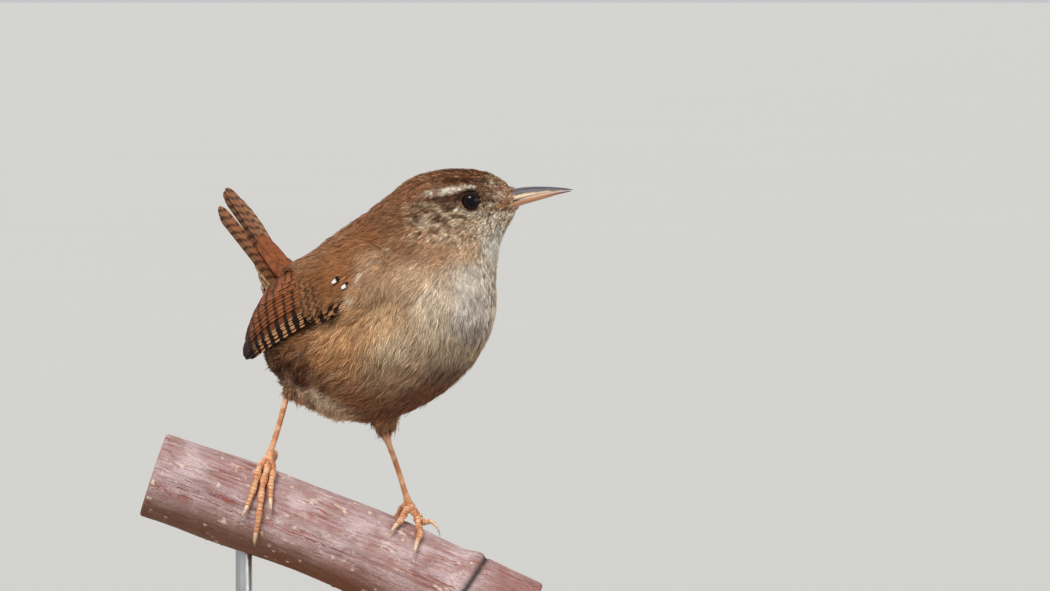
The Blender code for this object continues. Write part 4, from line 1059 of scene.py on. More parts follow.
def coatRoots(skin, ground):
    spots, normals, flat = scatterRoots(skin.data)
    roots = {"place": spots, "normal": normals, "flat": flat}
    face = toHead(spots)
    side = np.abs(face[:, 1])
    eyeGap = np.hypot(face[:, 0] - eye["place"][0], (face[:, 2] - eye["place"][2]) * 1.1)
    onEye = (eyeGap < 2.42) & (side > 3.0)
    top, _, bottom, half = (np.interp(face[:, 0], bill["rows"][:, 0], bill["rows"][:, k]) for k in (1, 2, 3, 4))
    onBill = (face[:, 0] > 11.2) & (side < half * 0.85) & (face[:, 2] > bottom + 0.1) & (face[:, 2] < top - 0.2)
    inWing = underWing(spots) > draw.random(len(spots)) * 0.8 + 0.2
    kept = ~(onEye | onBill | inWing)
    roots = keepRoots(roots, kept)
    for name, start in (("lift", 0.0), ("turn", 0.0), ("size", 1.0)):
        roots[name] = np.full(kept.sum(), start)

    # short feathers from the forehead and the lores reach forward over the base of the bill
    face = toHead(roots["place"])
    side = np.abs(face[:, 1])
    top, half = (np.interp(face[:, 0], bill["rows"][:, 0], bill["rows"][:, k]) for k in (1, 4))
    near = (face[:, 0] > 11.0) & (side < half + 1.0) & (face[:, 2] < top + 1.0) & (face[:, 2] > -1.0)
    nasal = keepRoots(roots, np.repeat(np.flatnonzero(near), 3))
    spread = draw.normal(0, 0.12, nasal["place"].shape)
    nasal["place"] = nasal["place"] + spread - nasal["normal"] * dot(spread, nasal["normal"])
    nasal["turn"] = nasal["turn"] + math.pi + draw.normal(0, 0.3, len(nasal["turn"]))
    nasal["size"] = draw.uniform(0.7, 1.2, len(nasal["turn"]))
    print("over the bill", len(nasal["turn"]))
    roots = {name: np.concatenate([roots[name], nasal[name]]) for name in roots}

    # the coat over the front and the edges of each wing, on the sheet that covers it
    skinPoints, skinCorners = meshPoints(skin.data), trianglesOf(skin.data)[0]
    skinTree = BVHTree.FromPolygons(skinPoints.tolist(), skinCorners.tolist())
    cover = {"place": [], "normal": [], "flat": []}
    for way in (1, -1):
        count, corner = 5600, 500
        along, across = draw.uniform(-6, 24, count), draw.uniform(-8, 12, count)
        along[:corner], across[:corner] = draw.uniform(-2, 6, corner), draw.uniform(3, 8, corner)
        closed = ~openWing(along, across)
        closed &= across > np.interp(along, (0, 6, 9, 14), (-8.0, -7.0, -3.0, -1.8))
        closed &= across < np.interp(along, (-6, 4, 10, 16, 22), (6.0, 8.0, 9.0, 9.6, 9.6))
        spot, normal = ground.onSheet(way, along, across)
        depth = np.array([gapOver(skinTree, point) for point in spot.tolist()])
        kept = closed & (depth > -0.05)
        cover["place"].append(spot[kept])
        cover["normal"].append(normal[kept])
        cover["flat"].append(nearestFlat(skin.data, skinTree, spot[kept]))
    lower = {name: np.concatenate(values) for name, values in cover.items()}
    for name, start in (("lift", 0.1), ("turn", 0.0), ("size", 1.0)):
        lower[name] = np.full(len(lower["place"]), start)
    lower["size"] = 1.0 - 0.35 * coverShare(lower["place"])
    print("over the wings", len(lower["place"]))
    roots = {name: np.concatenate([roots[name], lower[name]]) for name in roots}
    roots = trimOverWing(roots)

    # feathering that runs forward under the base of the bill
    count = 260
    at, out = draw.uniform(11.6, 15.6, count), draw.uniform(-1, 1, count)
    bottom, half = (np.interp(at, bill["rows"][:, 0], bill["rows"][:, k]) for k in (3, 4))
    spots = np.stack([at, out * half * 0.8, bottom - 0.1 + 0.5 * out**2], axis=1)
    spots, normals = ground.nearest(np.array([fromHead(spot) for spot in spots]))
    chin = {"place": spots, "normal": normals, "flat": nearestFlat(skin.data, skinTree, spots)}
    for name, start in (("lift", 0.05), ("turn", 0.0), ("size", 0.85)):
        chin[name] = np.full(count, start)
    roots = {name: np.concatenate([roots[name], chin[name]]) for name in roots}

    # loose wisps on the lower flanks and the vent, and darker feather centres on the upper side
    x, z = roots["place"][:, 0], roots["place"][:, 2]
    face = toHead(roots["place"])
    fluff = step(14, 6, x) * step(76, 72, z)
    roots["loose"] = 0.10 + 0.35 * step(92, 78, z) + 0.55 * fluff + 0.5 * step(70, 67, z)
    upper = step(1.0, 3.5, face[:, 2]) * step(-14, -9, face[:, 0])
    roots["centre"] = 0.16 + 0.42 * upper
    roots["face"] = step(-10, -5, face[:, 0]) * step(-9.5, -6.5, face[:, 2])
    return roots


def nearestFlat(mesh, tree, spots):
    corners, loops = trianglesOf(mesh)
    flat = np.empty(len(mesh.loops) * 2, np.float32)
    mesh.uv_layers["OFBake"].uv.foreach_get("vector", flat)
    flat = flat.reshape(-1, 2)
    found = [tree.find_nearest(spot)[2] for spot in spots.tolist()]
    return flat[loops[found]].mean(axis=1)


coatPieces = {
    "coat_crown": (34.0, 3.0, 119.0),
    "coat_face_left": (29.5, 9.5, 112.0),
    "coat_face_right": (36.7, -2.4, 112.0),
    "coat_throat": (40.0, 5.0, 105.0),
    "coat_nape": (18.0, 2.0, 112.0),
    "coat_breast_left": (32.0, 9.0, 92.0),
    "coat_breast_right": (32.0, -9.0, 92.0),
    "coat_mantle": (8.0, 0.0, 105.0),
    "coat_rump": (-9.0, 0.0, 96.0),
    "coat_flank_left": (10.0, 16.0, 82.0),
    "coat_flank_right": (10.0, -16.0, 82.0),
    "coat_belly_front": (22.0, 0.0, 74.0),
    "coat_belly_back": (2.0, 0.0, 70.0),
    "coat_vent": (-13.0, 0.0, 84.0),
}


def featherFinish():
    finish = Finish("body feathers")
    finish.shader.inputs["Specular IOR Level"].default_value = 0.10
    tone = finish.attribute("tone", "Color")
    spots = finish.object()
    soft = finish.noise(spots, 260.0, 3.0)
    fine = finish.noise(spots, 2600.0, 2.0)
    light = finish.smooth(soft, 0.25, 0.75, 0.86, 1.12) * finish.smooth(fine, 0.2, 0.8, 0.90, 1.10)
    tinted = finish.node("VectorMath", {"operation": "SCALE"}, {0: tone, 3: light})
    return finish.feed(Base_Color=tinted, Roughness=finish.smooth(fine, 0.2, 0.8, 0.62, 0.80))


def makeCoat():
    skin = makeSkin()
    print("skin", len(skin.data.polygons), "faces")
    ground = Ground(skin)
    finish = featherFinish()
    points, normals = meshPoints(skin.data), meshNormals(skin.data)
    lid = readLayer(skin.data, "lid")[:, None]
    # the skin takes the coat's markings at 0.55 of their brightness: painted shade for the depth of the coat where skin
    # shows between feathers
    tone = markings(points, normals)[2] * 0.55
    rim = paint(58, 42, 32) + (paint(196, 152, 112) - paint(58, 42, 32)) * np.clip(lid - 1, 0, 1)
    setLayer(skin.data, "tone", np.where(lid > 0.5, rim, tone))
    skin.data.attributes.remove(skin.data.attributes["lid"])
    skin.data.materials.clear()
    skin.data.materials.append(finish)
    place(skin, "plumage", ("torso", "neck", "head", "thigh_left", "thigh_right"))
    roots = coatRoots(skin, ground)
    print("roots", len(roots["place"]))
    featherPoints, tone, flat = growFeathers(roots, ground)
    centres = np.array(list(coatPieces.values()))
    nearest = np.argmin(np.linalg.norm(roots["place"][:, None] - centres[None], axis=2), axis=1)
    total = 0
    for k, name in enumerate(coatPieces):
        chosen = nearest == k
        piece = buildCoat(name, featherPoints, tone, flat, chosen, finish)
        total += len(piece.data.polygons)
        print(name, len(piece.data.polygons), "triangles")
    print("coat", total, "triangles in all")


# Wings and tail: each feather is a thin closed vane

def vane(bundle, lieOn, root, tip, halfWidth, lifts, look, tilt=0.0, bow=0.0, rows=22, columns=9, blunt=0.82):
    root, tip = np.asarray(root, float), np.asarray(tip, float)
    length = np.linalg.norm(tip - root)
    share = np.concatenate([np.linspace(0, blunt, rows - 7, endpoint=False),
                            blunt + (1 - blunt) * np.sin(np.linspace(0, math.pi / 2, 7))])
    run = (tip - root) / length
    sideways = np.array([-run[1], run[0]])
    spine = root + (tip - root) * share[:, None] + sideways * bow * np.sin(math.pi * share)[:, None]
    s = np.linspace(-1, 1, columns)
    wide = step(-0.35, 0.5, share) * (1 - np.clip((share - blunt) / (1 - blunt), 0, 1) ** 2.2) ** 0.5
    wide = np.maximum(wide, 0.02)
    offset = halfWidth * wide[:, None] * s
    # the edges are a little ragged, and the tip's edge trails back
    ragged = draw.normal(0, 1, (rows, 2)) * 0.012 * halfWidth
    offset[:, 0] += ragged[:, 0]
    offset[:, -1] += ragged[:, 1]
    along = spine[:, :1] + sideways[0] * offset
    across = spine[:, 1:] + sideways[1] * offset
    rise = lifts[0] + (lifts[1] - lifts[0]) * share[:, None] - tilt * offset
    ribs = 0.012 * np.cos(np.arange(columns) * math.pi)
    rise = rise + 0.10 * np.exp(-((s / 0.16) ** 2)) * step(1.0, 0.8, share)[:, None] + ribs
    thick = 0.13 * (1 - 0.5 * share[:, None])
    upper = lieOn(along, across, rise + thick).reshape(-1, 3)
    lower = lieOn(along, across, rise).reshape(-1, 3)
    count = rows * columns
    side = 1 if np.linalg.det(np.stack([upper[columns] - upper[0], upper[1] - upper[0], upper[0] - lower[0]])) > 0 else -1
    faces = np.concatenate([
        gridFaces(rows, columns, side > 0),
        gridFaces(rows, columns, side < 0) + count,
        rimFaces(rows, columns, count)[:, ::side],
    ])
    plan = np.stack([along, across], axis=-1).reshape(-1, 2)
    own = np.stack([np.broadcast_to(s, (rows, columns)), np.broadcast_to(share[:, None] * length, (rows, columns))], -1)
    own = own.reshape(-1, 2)
    kind = np.full(2 * count, float(look))
    chance = np.full(2 * count, draw.random())
    cell = len(bundle.points)
    corner = np.array([cell % 16, cell // 16]) / 16
    flat = corner + np.stack([np.tile(share / 2.1, (columns, 1)).T, np.tile((s + 1) / 2.2, (rows, 1))], -1) / 16
    flat = np.concatenate([flat.reshape(-1, 2), flat.reshape(-1, 2) + np.array([0.5 / 16, 0])])
    # the far end of each feather, and how far each point is from it
    left = np.tile(length - own[:, 1], 2)
    bundle.add(np.concatenate([upper, lower]), faces, plan=np.tile(plan, (2, 1)), own=np.tile(own, (2, 1)),
               OFBake=flat, kind=kind, chance=chance, left=left)


featherKinds = {
    "primary": 0.0,
    "secondary": 1.0,
    "tertial": 2.0,
    "covert": 3.0,
    "spotted": 4.0,
    "tail": 5.0,
    "undertail": 6.0,
    "alula": 7.0,
    "uppertail": 8.0,
}

def trimOverWing(roots):
    # a feather that would reach over the open part of a wing is shortened or left out
    way, sizes, _ = readLie(roots["place"], roots["normal"])
    limit = np.ones(len(way))
    shift = draw.normal(0, 0.6, (2, len(way)))
    for reach in (1.0, 0.8, 0.6, 0.35):
        tips = roots["place"] + way * sizes[:, :1] * roots["size"][:, None] * reach
        along, across = onWing(tips)
        covered = openWing(along + shift[0], across + shift[1]) & (np.abs(tips[:, 1]) > 8) & (across < 10)
        covered &= wingGap(tips) < 1.6
        limit = np.where(covered, reach - 0.2, limit)
    # nor does any feather reach over the open eye
    for reach in (1.0, 0.8, 0.6, 0.4):
        face = toHead(roots["place"] + way * sizes[:, :1] * roots["size"][:, None] * reach)
        eyeGap = np.hypot(face[:, 0] - eye["place"][0], face[:, 2] - eye["place"][2])
        covered = (eyeGap < 2.3) & (np.abs(face[:, 1]) > 3.0)
        limit = np.where(covered, np.minimum(limit, reach - 0.18), limit)
    roots["size"] = roots["size"] * limit
    return keepRoots(roots, limit > 0.3)


wingTiers = (
    # kind, count, then for the lowest and the highest feather: root, tip, half width, lifts; tilt, bow, bulge
    ("primary", 6, (12.0, -3.2), (43.4, -0.9), 1.3, (0.15, 0.15), (16.0, 0.0), (45.2, 1.0), 1.6, (0.5, 0.45), 0.13, 0.4, 3.0),
    ("secondary", 7, (15.5, 1.0), (42.4, 2.4), 1.8, (0.55, 0.5), (17.5, 5.0), (33.0, 7.2), 2.0, (0.95, 0.9), 0.13, 1.2, 0.0),
    ("tertial", 3, (17.0, 5.6), (30.6, 7.6), 2.2, (1.0, 1.0), (15.5, 7.4), (25.4, 8.6), 2.1, (1.25, 1.2), 0.10, 0.4, 0.0),
    ("alula", 3, (5.6, -3.4), (13.4, -4.7), 0.9, (1.3, 1.5), (7.4, -2.6), (15.8, -3.2), 1.0, (1.6, 1.8), 0.10, 0.0, 0.0),
    ("alula", 5, (9.5, -3.8), (18.0, -4.4), 1.0, (0.9, 1.0), (12.0, -2.0), (21.0, -1.4), 1.2, (1.2, 1.4), 0.12, 0.0, 0.4),
    ("spotted", 2, (6.3, -0.9), (8.6, -1.3), 0.55, (2.1, 2.85), (7.8, 1.1), (10.3, 0.5), 0.58, (2.2, 2.95), 0.05, 0.0, 0.0),
)


def makeWing(word, side, finish):
    bundle = Bundle()
    for tier in wingTiers:
        kind, count, root0, tip0, half0, lifts0, root1, tip1, half1, lifts1, tilt, bow, bulge = tier
        for k in range(count):
            t = k / (count - 1)
            blend = lambda a, b: np.asarray(a, float) * (1 - t) + np.asarray(b, float) * t
            tip = blend(tip0, tip1) + np.array([bulge * math.sin(math.pi * t) * 0.5, 0.0])
            tip = tip + draw.normal(0, 0.12, 2)
            rows = 22 if kind in ("primary", "secondary", "tertial") else 14
            look = featherKinds[kind]
            vane(bundle, lambda a, b, l: wingPlace(side, a, b, l), blend(root0, root1), tip, float(blend(half0, half1)),
                 blend(lifts0, lifts1), look, tilt, bow, rows, 9, 0.84 if rows > 20 else 0.68)
    wingPiece = bundle.build("wing_feathers_" + word, [finish], ("plan", "own", "OFBake"))
    return place(wingPiece, "barred_feathers", ("wing_" + word,))


tailFeathers = (
    # side, root across, tip across, length, lift, half width: from the outermost to the middle pair
    (-1, -2.4, -4.1, 25.2, -1.35, 1.4),
    (1, 3.2, 5.4, 24.6, -1.15, 1.6),
    (-1, -2.1, -3.9, 26.2, -1.15, 1.4),
    (1, 2.9, 4.9, 26.4, -0.90, 1.7),
    (-1, -1.8, -3.7, 27.0, -0.95, 1.4),
    (1, 2.5, 4.3, 28.0, -0.65, 1.8),
    (-1, -1.5, -3.5, 27.4, -0.75, 1.4),
    (1, 2.1, 3.5, 29.6, -0.40, 1.9),
    (-1, -0.7, 0.3, 29.8, -0.20, 1.8),
    (1, 1.5, 2.6, 30.8, -0.15, 1.9),
    (-1, 0.1, 0.6, 31.0, 0.05, 2.0),
    (1, 0.9, 1.5, 31.7, 0.30, 2.1),
)


def makeTail(finish):
    bundle = Bundle()
    for side, low, high, length, lift, half in tailFeathers:
        vane(bundle, tailPlace, (0.0, low), (length, high), half, (lift, lift), featherKinds["tail"],
             0.10 * side, -0.35 * side, 28, 11, 0.90)
    for count, start, end, middle, reach, low, high, half, kind in (
        (7, -2.0, 17.5, 0.9, 2.5, 0.9, 0.75, 1.4, "uppertail"),
        (7, -2.0, 13.5, 0.9, 2.9, 1.4, 1.10, 1.5, "uppertail"),
        (7, -2.5, 9.5, 1.0, 3.4, 1.9, 1.80, 1.6, "uppertail"),
        (7, 1.5, 13.2, 0.0, 3.5, -1.7, -1.8, 1.3, "undertail"),
        (7, 0.0, 10.8, -0.3, 3.6, -2.5, -2.3, 1.4, "undertail"),
        (7, -2.0, 8.4, -0.5, 3.7, -3.4, -3.0, 1.5, "undertail"),
        (7, -3.5, 5.6, -0.6, 3.7, -4.4, -4.0, 1.5, "undertail"),
    ):
        for k in range(count):
            t = 2 * k / (count - 1) - 1
            tip = (end - 1.6 * t * t + draw.normal(0, 0.4), middle + reach * t + draw.normal(0, 0.2))
            drop = -0.35 * abs(t) if high > 0 else 0.25 * abs(t)
            vane(bundle, tailPlace, (start, middle + reach * t * 0.6), tip, half, (low, high + drop),
                 featherKinds[kind], 0.12 * (1 if t > 0 else -1), 0.3 * t, 18, 9, 0.62)
    piece = bundle.build("tail_feathers", [finish], ("plan", "own", "OFBake"))
    return place(piece, "barred_feathers", ("tail",))


vaneColours = {
    "rufous": paint(140, 76, 41),
    "rufousDark": paint(104, 56, 31),
    "rufousPale": paint(164, 98, 57),
    "bar": paint(40, 23, 15),
    "primaryDark": paint(34, 21, 15),
    "primaryPale": paint(214, 168, 120),
    "primaryRufous": paint(124, 69, 39),
    "alulaBuff": paint(172, 118, 76),
    "covert": paint(150, 98, 60),
    "covertBar": paint(70, 42, 27),
    "tailRust": paint(156, 90, 52),
    "white": paint(236, 228, 214),
    "black": paint(20, 14, 12),
    "undertail": paint(196, 156, 118),
    "tail": paint(148, 94, 62),
    "tailGrey": paint(164, 132, 104),
}


def barredFinish():
    # bars across each feather, by its kind: the plan map runs over the whole wing, the own map along a feather
    finish = Finish("barred feathers")
    finish.shader.inputs["Specular IOR Level"].default_value = 0.14
    planAlong, planAcross, _ = finish.parts(finish.map("plan"))
    side, run, _ = finish.parts(finish.map("own"))
    kind, chance, left = (finish.attribute(name) for name in ("kind", "chance", "left"))

    def isKind(value):
        return finish.node("Math", {"operation": "COMPARE"}, {0: kind, 1: featherKinds[value], 2: 0.4})

    def sine(value):
        return finish.node("Math", {"operation": "SINE"}, {0: value})

    away = finish.node("Math", {"operation": "ABSOLUTE"}, {0: side})
    spots = finish.object()
    rough = finish.noise(spots, 700.0, 3.0) - 0.5
    broad = finish.noise(spots, 260.0, 2.0) - 0.5
    fine = finish.noise(spots, 3200.0, 2.0)
    barbs = sine((run - away * 0.9) * 38.0)

    def bars(pitch, slant, wobble, low, high, shift=0.0):
        wave = (run + away * slant + rough * wobble + broad + chance * shift) * (2 * math.pi / pitch)
        return finish.smooth(sine(wave), low, high)

    # the flight feathers' bars line up across the wing
    lineUp = (planAlong + planAcross * 0.16 + away * 0.5 + rough * 1.3 + broad * 1.4 + chance * 0.55)
    aligned = sine(lineUp * (2 * math.pi / 2.9))
    colours = {name: (*value, 1.0) for name, value in vaneColours.items()}
    outer = finish.smooth(planAcross - planAlong * 0.05, 0.9, -1.4)
    reach = finish.smooth(planAlong + rough * 3.0, 43.0, 37.0)
    ground = finish.mix(finish.smooth(broad, -0.12, 0.12), colours["rufousDark"], colours["rufous"])
    ground = finish.mix(finish.smooth(side, -0.1, -0.9) * 0.5, ground, colours["rufousPale"])
    inner = finish.mix(finish.smooth(aligned, 0.15, 0.75) * 0.85, ground, colours["bar"])
    inner = finish.mix(finish.smooth(planAlong, 34.0, 42.0) * 0.75, inner, colours["bar"])
    paleWeb = finish.smooth(side, -0.78, -0.86)
    dot = finish.smooth(aligned, 0.05, -0.45)
    palest = finish.mix(finish.smooth(planAcross, -1.4, 1.0), colours["primaryPale"], colours["primaryRufous"])
    outerTone = finish.mix(finish.smooth(aligned, 0.3, -0.2) * 0.9, colours["primaryDark"], colours["primaryRufous"])
    outerTone = finish.mix(dot * reach * paleWeb, outerTone, palest)
    outerTone = finish.mix(finish.smooth(planAlong, 36.0, 42.5) * 0.85, outerTone, colours["primaryDark"])
    primary = finish.mix(outer, inner, outerTone)
    tertial = finish.mix(bars(2.4, 0.5, 1.4, 0.15, 0.8, 0.9) * 0.7, ground, colours["bar"])
    mottled = finish.mix(finish.smooth(fine + rough, 0.35, 0.7) * 0.4, colours["covert"], colours["rufous"])
    covert = finish.mix(bars(1.7, 0.9, 2.4, 0.25, 0.95, 2.2) * 0.60, mottled, colours["covertBar"])
    alula = finish.mix(bars(2.7, -0.6, 1.4, -0.55, 0.10, 1.5), colours["alulaBuff"], colours["primaryDark"])
    alula = finish.mix(finish.smooth(side, 0.1, 0.6) * 0.5, alula, colours["primaryDark"])
    spotLeft = finish.smooth(left, 1.15, 0.85) * finish.smooth(away, 0.85, 0.60)
    blackLeft = finish.smooth(left, 2.1, 1.5)
    spotted = finish.mix(blackLeft, covert, colours["black"])
    spotted = finish.mix(spotLeft, spotted, colours["white"])
    tailBars = bars(2.15, -0.45, 0.55, -0.15, 0.65, 0.35)
    tailTone = finish.mix(finish.smooth(run, 20.0, 6.0), colours["tail"], colours["tailRust"])
    tailTone = finish.mix(finish.smooth(away, 0.5, 1.0) * 0.5, tailTone, colours["tailGrey"])
    tailTone = finish.mix(tailBars * 0.66, tailTone, colours["bar"])
    upper = finish.mix(bars(2.6, 0.6, 1.2, 0.1, 1.0, 2.0) * 0.28, colours["tailRust"], colours["bar"])
    upper = finish.mix(finish.smooth(fine + rough, 0.3, 0.8) * 0.35, upper, colours["rufousDark"])
    whiteTip = finish.smooth(left, 1.2, 0.8) * finish.smooth(away, 0.95, 0.6)
    underSpot = finish.smooth(left, 2.3, 1.8) * finish.smooth(left, 0.7, 1.0) * finish.smooth(away, 0.7, 0.4)
    under = finish.mix(bars(2.3, 0.6, 1.5, 0.4, 0.8, 2.0) * 0.35, colours["undertail"], colours["bar"])
    under = finish.mix(underSpot, under, colours["black"])
    under = finish.mix(whiteTip, under, colours["white"])
    tone = finish.mix(isKind("primary") + isKind("secondary"), covert, primary)
    for name, own in (("tertial", tertial), ("spotted", spotted), ("alula", alula), ("tail", tailTone),
                      ("uppertail", upper), ("undertail", under)):
        tone = finish.mix(isKind(name), tone, own)
    shaft = finish.smooth(away, 0.09, 0.04)
    tone = finish.mix(shaft * isKind("tail") * 0.55, tone, colours["tailGrey"])
    edge = finish.smooth(away, 0.80, 0.98)
    flight = isKind("primary") + isKind("secondary") + isKind("tertial")
    tone = finish.mix(edge * flight * (1 - outer) * 0.30, tone, colours["rufousPale"])
    light = finish.smooth(barbs, -1.0, 1.0, 0.86, 1.08) * finish.smooth(fine, 0.2, 0.8, 0.82, 1.14)
    light = light * finish.smooth(chance, 0.0, 1.0, 0.88, 1.10)
    tone = finish.node("VectorMath", {"operation": "SCALE"}, {0: tone, 3: light})
    return finish.feed(Base_Color=tone, Roughness=finish.smooth(fine, 0.2, 0.8, 0.50, 0.70),
                       Normal=finish.bump(barbs * 0.5 + fine, 0.00010, 0.7))


# Bare parts

def bareTube(name, path, radii, sides=16, flat=1.0):
    # a closed tube on a smooth path, as a bevelled curve made a mesh
    bpy.ops.object.select_all(action="DESELECT")
    curve = bpy.data.curves.new(name, "CURVE")
    curve.dimensions = "3D"
    spline = curve.splines.new("POLY")
    spline.points.add(len(path) - 1)
    spline.points.foreach_set("co", np.column_stack([path * mm, np.ones(len(path))]).astype(np.float32).ravel())
    spline.points.foreach_set("radius", np.asarray(radii, np.float32) * mm)
    curve.bevel_depth = 1.0
    curve.bevel_resolution = sides // 4 - 1
    curve.use_fill_caps = True
    piece = bpy.data.objects.new(name, curve)
    bpy.context.scene.collection.objects.link(piece)
    selectOnly(piece)
    bpy.ops.object.convert(target="MESH")
    piece = bpy.context.active_object
    bpy.ops.object.mode_set(mode="EDIT")
    bpy.ops.mesh.select_all(action="SELECT")
    bpy.ops.mesh.remove_doubles(threshold=1e-7)
    bpy.ops.mesh.normals_make_consistent(inside=False)
    bpy.ops.object.mode_set(mode="OBJECT")
    piece.data.shade_smooth()
    return piece


def finePath(points, steps):
    points = np.asarray(points, float)
    gaps = np.concatenate([[0], np.cumsum(np.linalg.norm(np.diff(points, axis=0), axis=1))])
    at = np.linspace(0, gaps[-1], steps)
    return throughPoints(at, gaps, points), at


bill = {
    # place ahead of the head's centre, top, mouth line, bottom and half width
    "rows": np.array([
        (11.2, 2.20, -0.85, -2.50, 2.25),
        (13.6, 2.65, -0.10, -1.75, 1.90),
        (15.6, 3.00, 0.55, -0.80, 1.55),
        (18.0, 3.20, 1.15, -0.05, 1.20),
        (20.6, 3.22, 1.75, 0.70, 0.88),
        (23.2, 3.10, 2.15, 1.50, 0.56),
        (25.4, 2.88, 2.38, 2.05, 0.30),
        (26.7, 2.62, 2.50, 2.36, 0.08),
    ]),
    "gap": 0.07,
    "stations": 34,
    "sides": 28,
}


def makeBillHalf(name, upper, node, finish):
    # a ring is drawn at the base, then extruded station by station towards the tip
    rows = bill["rows"]
    places = np.linspace(rows[0, 0], rows[-1, 0] - (0.0 if upper else 0.5), bill["stations"])
    shape = throughPoints(places, rows[:, 0], rows)
    bpy.ops.object.select_all(action="DESELECT")
    bpy.ops.mesh.primitive_circle_add(vertices=bill["sides"], radius=1.0 * mm, fill_type="NGON")
    piece = bpy.context.active_object
    piece.name = name
    bpy.ops.object.mode_set(mode="EDIT")
    bpy.ops.mesh.select_all(action="SELECT")
    for _ in places[1:]:
        bpy.ops.mesh.extrude_region_move(TRANSFORM_OT_translate={"value": (0, 0, 1.0 * mm)})
    bpy.ops.object.mode_set(mode="OBJECT")
    points = meshPoints(piece.data)
    ring = np.clip(np.round(points[:, 2]).astype(int), 0, len(places) - 1)
    row = shape[ring]
    across, up = points[:, 0], points[:, 1]
    way = 1 if upper else -1
    mouth = row[:, 2] + way * bill["gap"]
    outerEdge = row[:, 1] if upper else row[:, 3]
    beyond = np.clip(way * up, 0, 1)
    tuck = np.clip(-way * up, 0, 1)
    keel = np.abs(across) ** (1.25 if upper else 1.1) * np.sign(across)
    height = mouth + (outerEdge - mouth) * beyond ** 0.9 + way * 0.10 * tuck * np.minimum(row[:, 4], 1)
    width = row[:, 4] * keel * (1 - 0.12 * tuck)
    # the nostril's groove
    if upper:
        gap = np.hypot((row[:, 0] - 15.6) / 1.9, (height - row[:, 2] - 0.95) / 0.42)
        width *= 1 - 0.16 * np.exp(-(gap**2)) * (np.abs(across) > 0.4)
    spots = fromHead(np.column_stack([row[:, 0], width, height]))
    piece.data.vertices.foreach_set("co", (spots * mm).astype(np.float32).ravel())
    piece.data.update()
    setLayer(piece.data, "tipward", (row[:, 0] - rows[0, 0]) / (rows[-1, 0] - rows[0, 0]))
    setLayer(piece.data, "upward", np.clip((height - row[:, 2]) / np.maximum(row[:, 1] - row[:, 2], 0.05), -1, 1))
    setLayer(piece.data, "nose", np.hypot((row[:, 0] - 15.5) / 1.0, (height - row[:, 2] - 0.95) / 0.36))
    selectOnly(piece)
    bpy.ops.object.mode_set(mode="EDIT")
    bpy.ops.mesh.select_all(action="SELECT")
    bpy.ops.mesh.remove_doubles(threshold=1e-7)
    bpy.ops.mesh.normals_make_consistent(inside=False)
    bpy.ops.object.mode_set(mode="OBJECT")
    piece.data.shade_smooth()
    piece.data.materials.append(finish)
    return place(piece, "bill_horn", (node,))


billColours = {
    "slate": paint(66, 64, 72),
    "base": paint(132, 88, 56),
    "edge": paint(214, 184, 152),
    "lower": paint(190, 138, 106),
    "lowerTip": paint(116, 84, 68),
    "dark": paint(34, 25, 24),
}


def billFinish():
    finish = Finish("bill horn", Coat_Roughness=0.25)
    finish.shader.inputs["Specular IOR Level"].default_value = 0.3
    tipward, upward, nose = (finish.attribute(name) for name in ("tipward", "upward", "nose"))
    spots = finish.object()
    soft = finish.noise(spots, 500.0, 4.0)
    fine = finish.noise(spots, 3500.0, 2.0)
    colours = {name: (*value, 1.0) for name, value in billColours.items()}
    rise = upward + (soft - 0.5) * 0.35 + tipward * 0.25
    top = finish.mix(finish.smooth(tipward, 0.26, 0.08), colours["slate"], colours["base"])
    tone = finish.mix(finish.smooth(rise, 0.34, 0.62), colours["edge"], top)
    below = finish.mix(finish.smooth(tipward, 0.55, 1.0), colours["lower"], colours["lowerTip"])
    tone = finish.mix(finish.smooth(upward, 0.02, -0.10), tone, below)
    # a dark line along the mouth near the base: painted shade in the gap between the two halves
    slit = finish.smooth(upward, 0.16, 0.05) * finish.smooth(upward, -0.16, -0.05)
    tone = finish.mix(slit * finish.smooth(tipward, 0.55, 0.2) * 0.85, tone, colours["dark"])
    tone = finish.mix(finish.smooth(tipward, 0.80, 1.0) * 0.7, tone, colours["slate"])
    # the nostril is painted dark: painted shade in its opening
    tone = finish.mix(finish.smooth(nose, 0.75, 0.45), tone, colours["dark"])
    tone = finish.mix(finish.smooth(soft, 0.52, 0.75) * 0.30, tone, colours["lowerTip"])
    return finish.feed(Base_Color=tone, Roughness=finish.smooth(fine, 0.2, 0.8, 0.36, 0.52),
                       Normal=finish.bump(fine + soft, 0.00004, 0.5))


def makeEye(word, side, finish):
    centre = fromHead(np.array(eye["place"]) * np.array([1, side, 1]))
    bpy.ops.object.select_all(action="DESELECT")
    bpy.ops.mesh.primitive_uv_sphere_add(segments=64, ring_count=40, radius=eye["radius"] * mm)
    piece = bpy.context.active_object
    piece.name = "eye_ball_" + word
    bpy.ops.object.mode_set(mode="EDIT")
    bpy.ops.mesh.select_all(action="SELECT")
    bpy.ops.transform.rotate(value=math.radians(90), orient_axis="X", center_override=(0, 0, 0))
    bpy.ops.object.mode_set(mode="OBJECT")
    points = meshPoints(piece.data)
    out = unit(np.array([0.16, side * 1.0, 0.02]))
    outward = points / eye["radius"] @ out
    # the clear front bulges a little
    points = points * (1 + 0.045 * step(0.72, 1.0, points[:, 1:2] * side / eye["radius"]))
    spots = centre + points @ headAxes()
    piece.data.vertices.foreach_set("co", (spots * mm).astype(np.float32).ravel())
    piece.data.update()
    setLayer(piece.data, "outward", outward)
    piece.data.shade_smooth()
    piece.data.materials.append(finish)
    return place(piece, "eye", ("eye_" + word,))


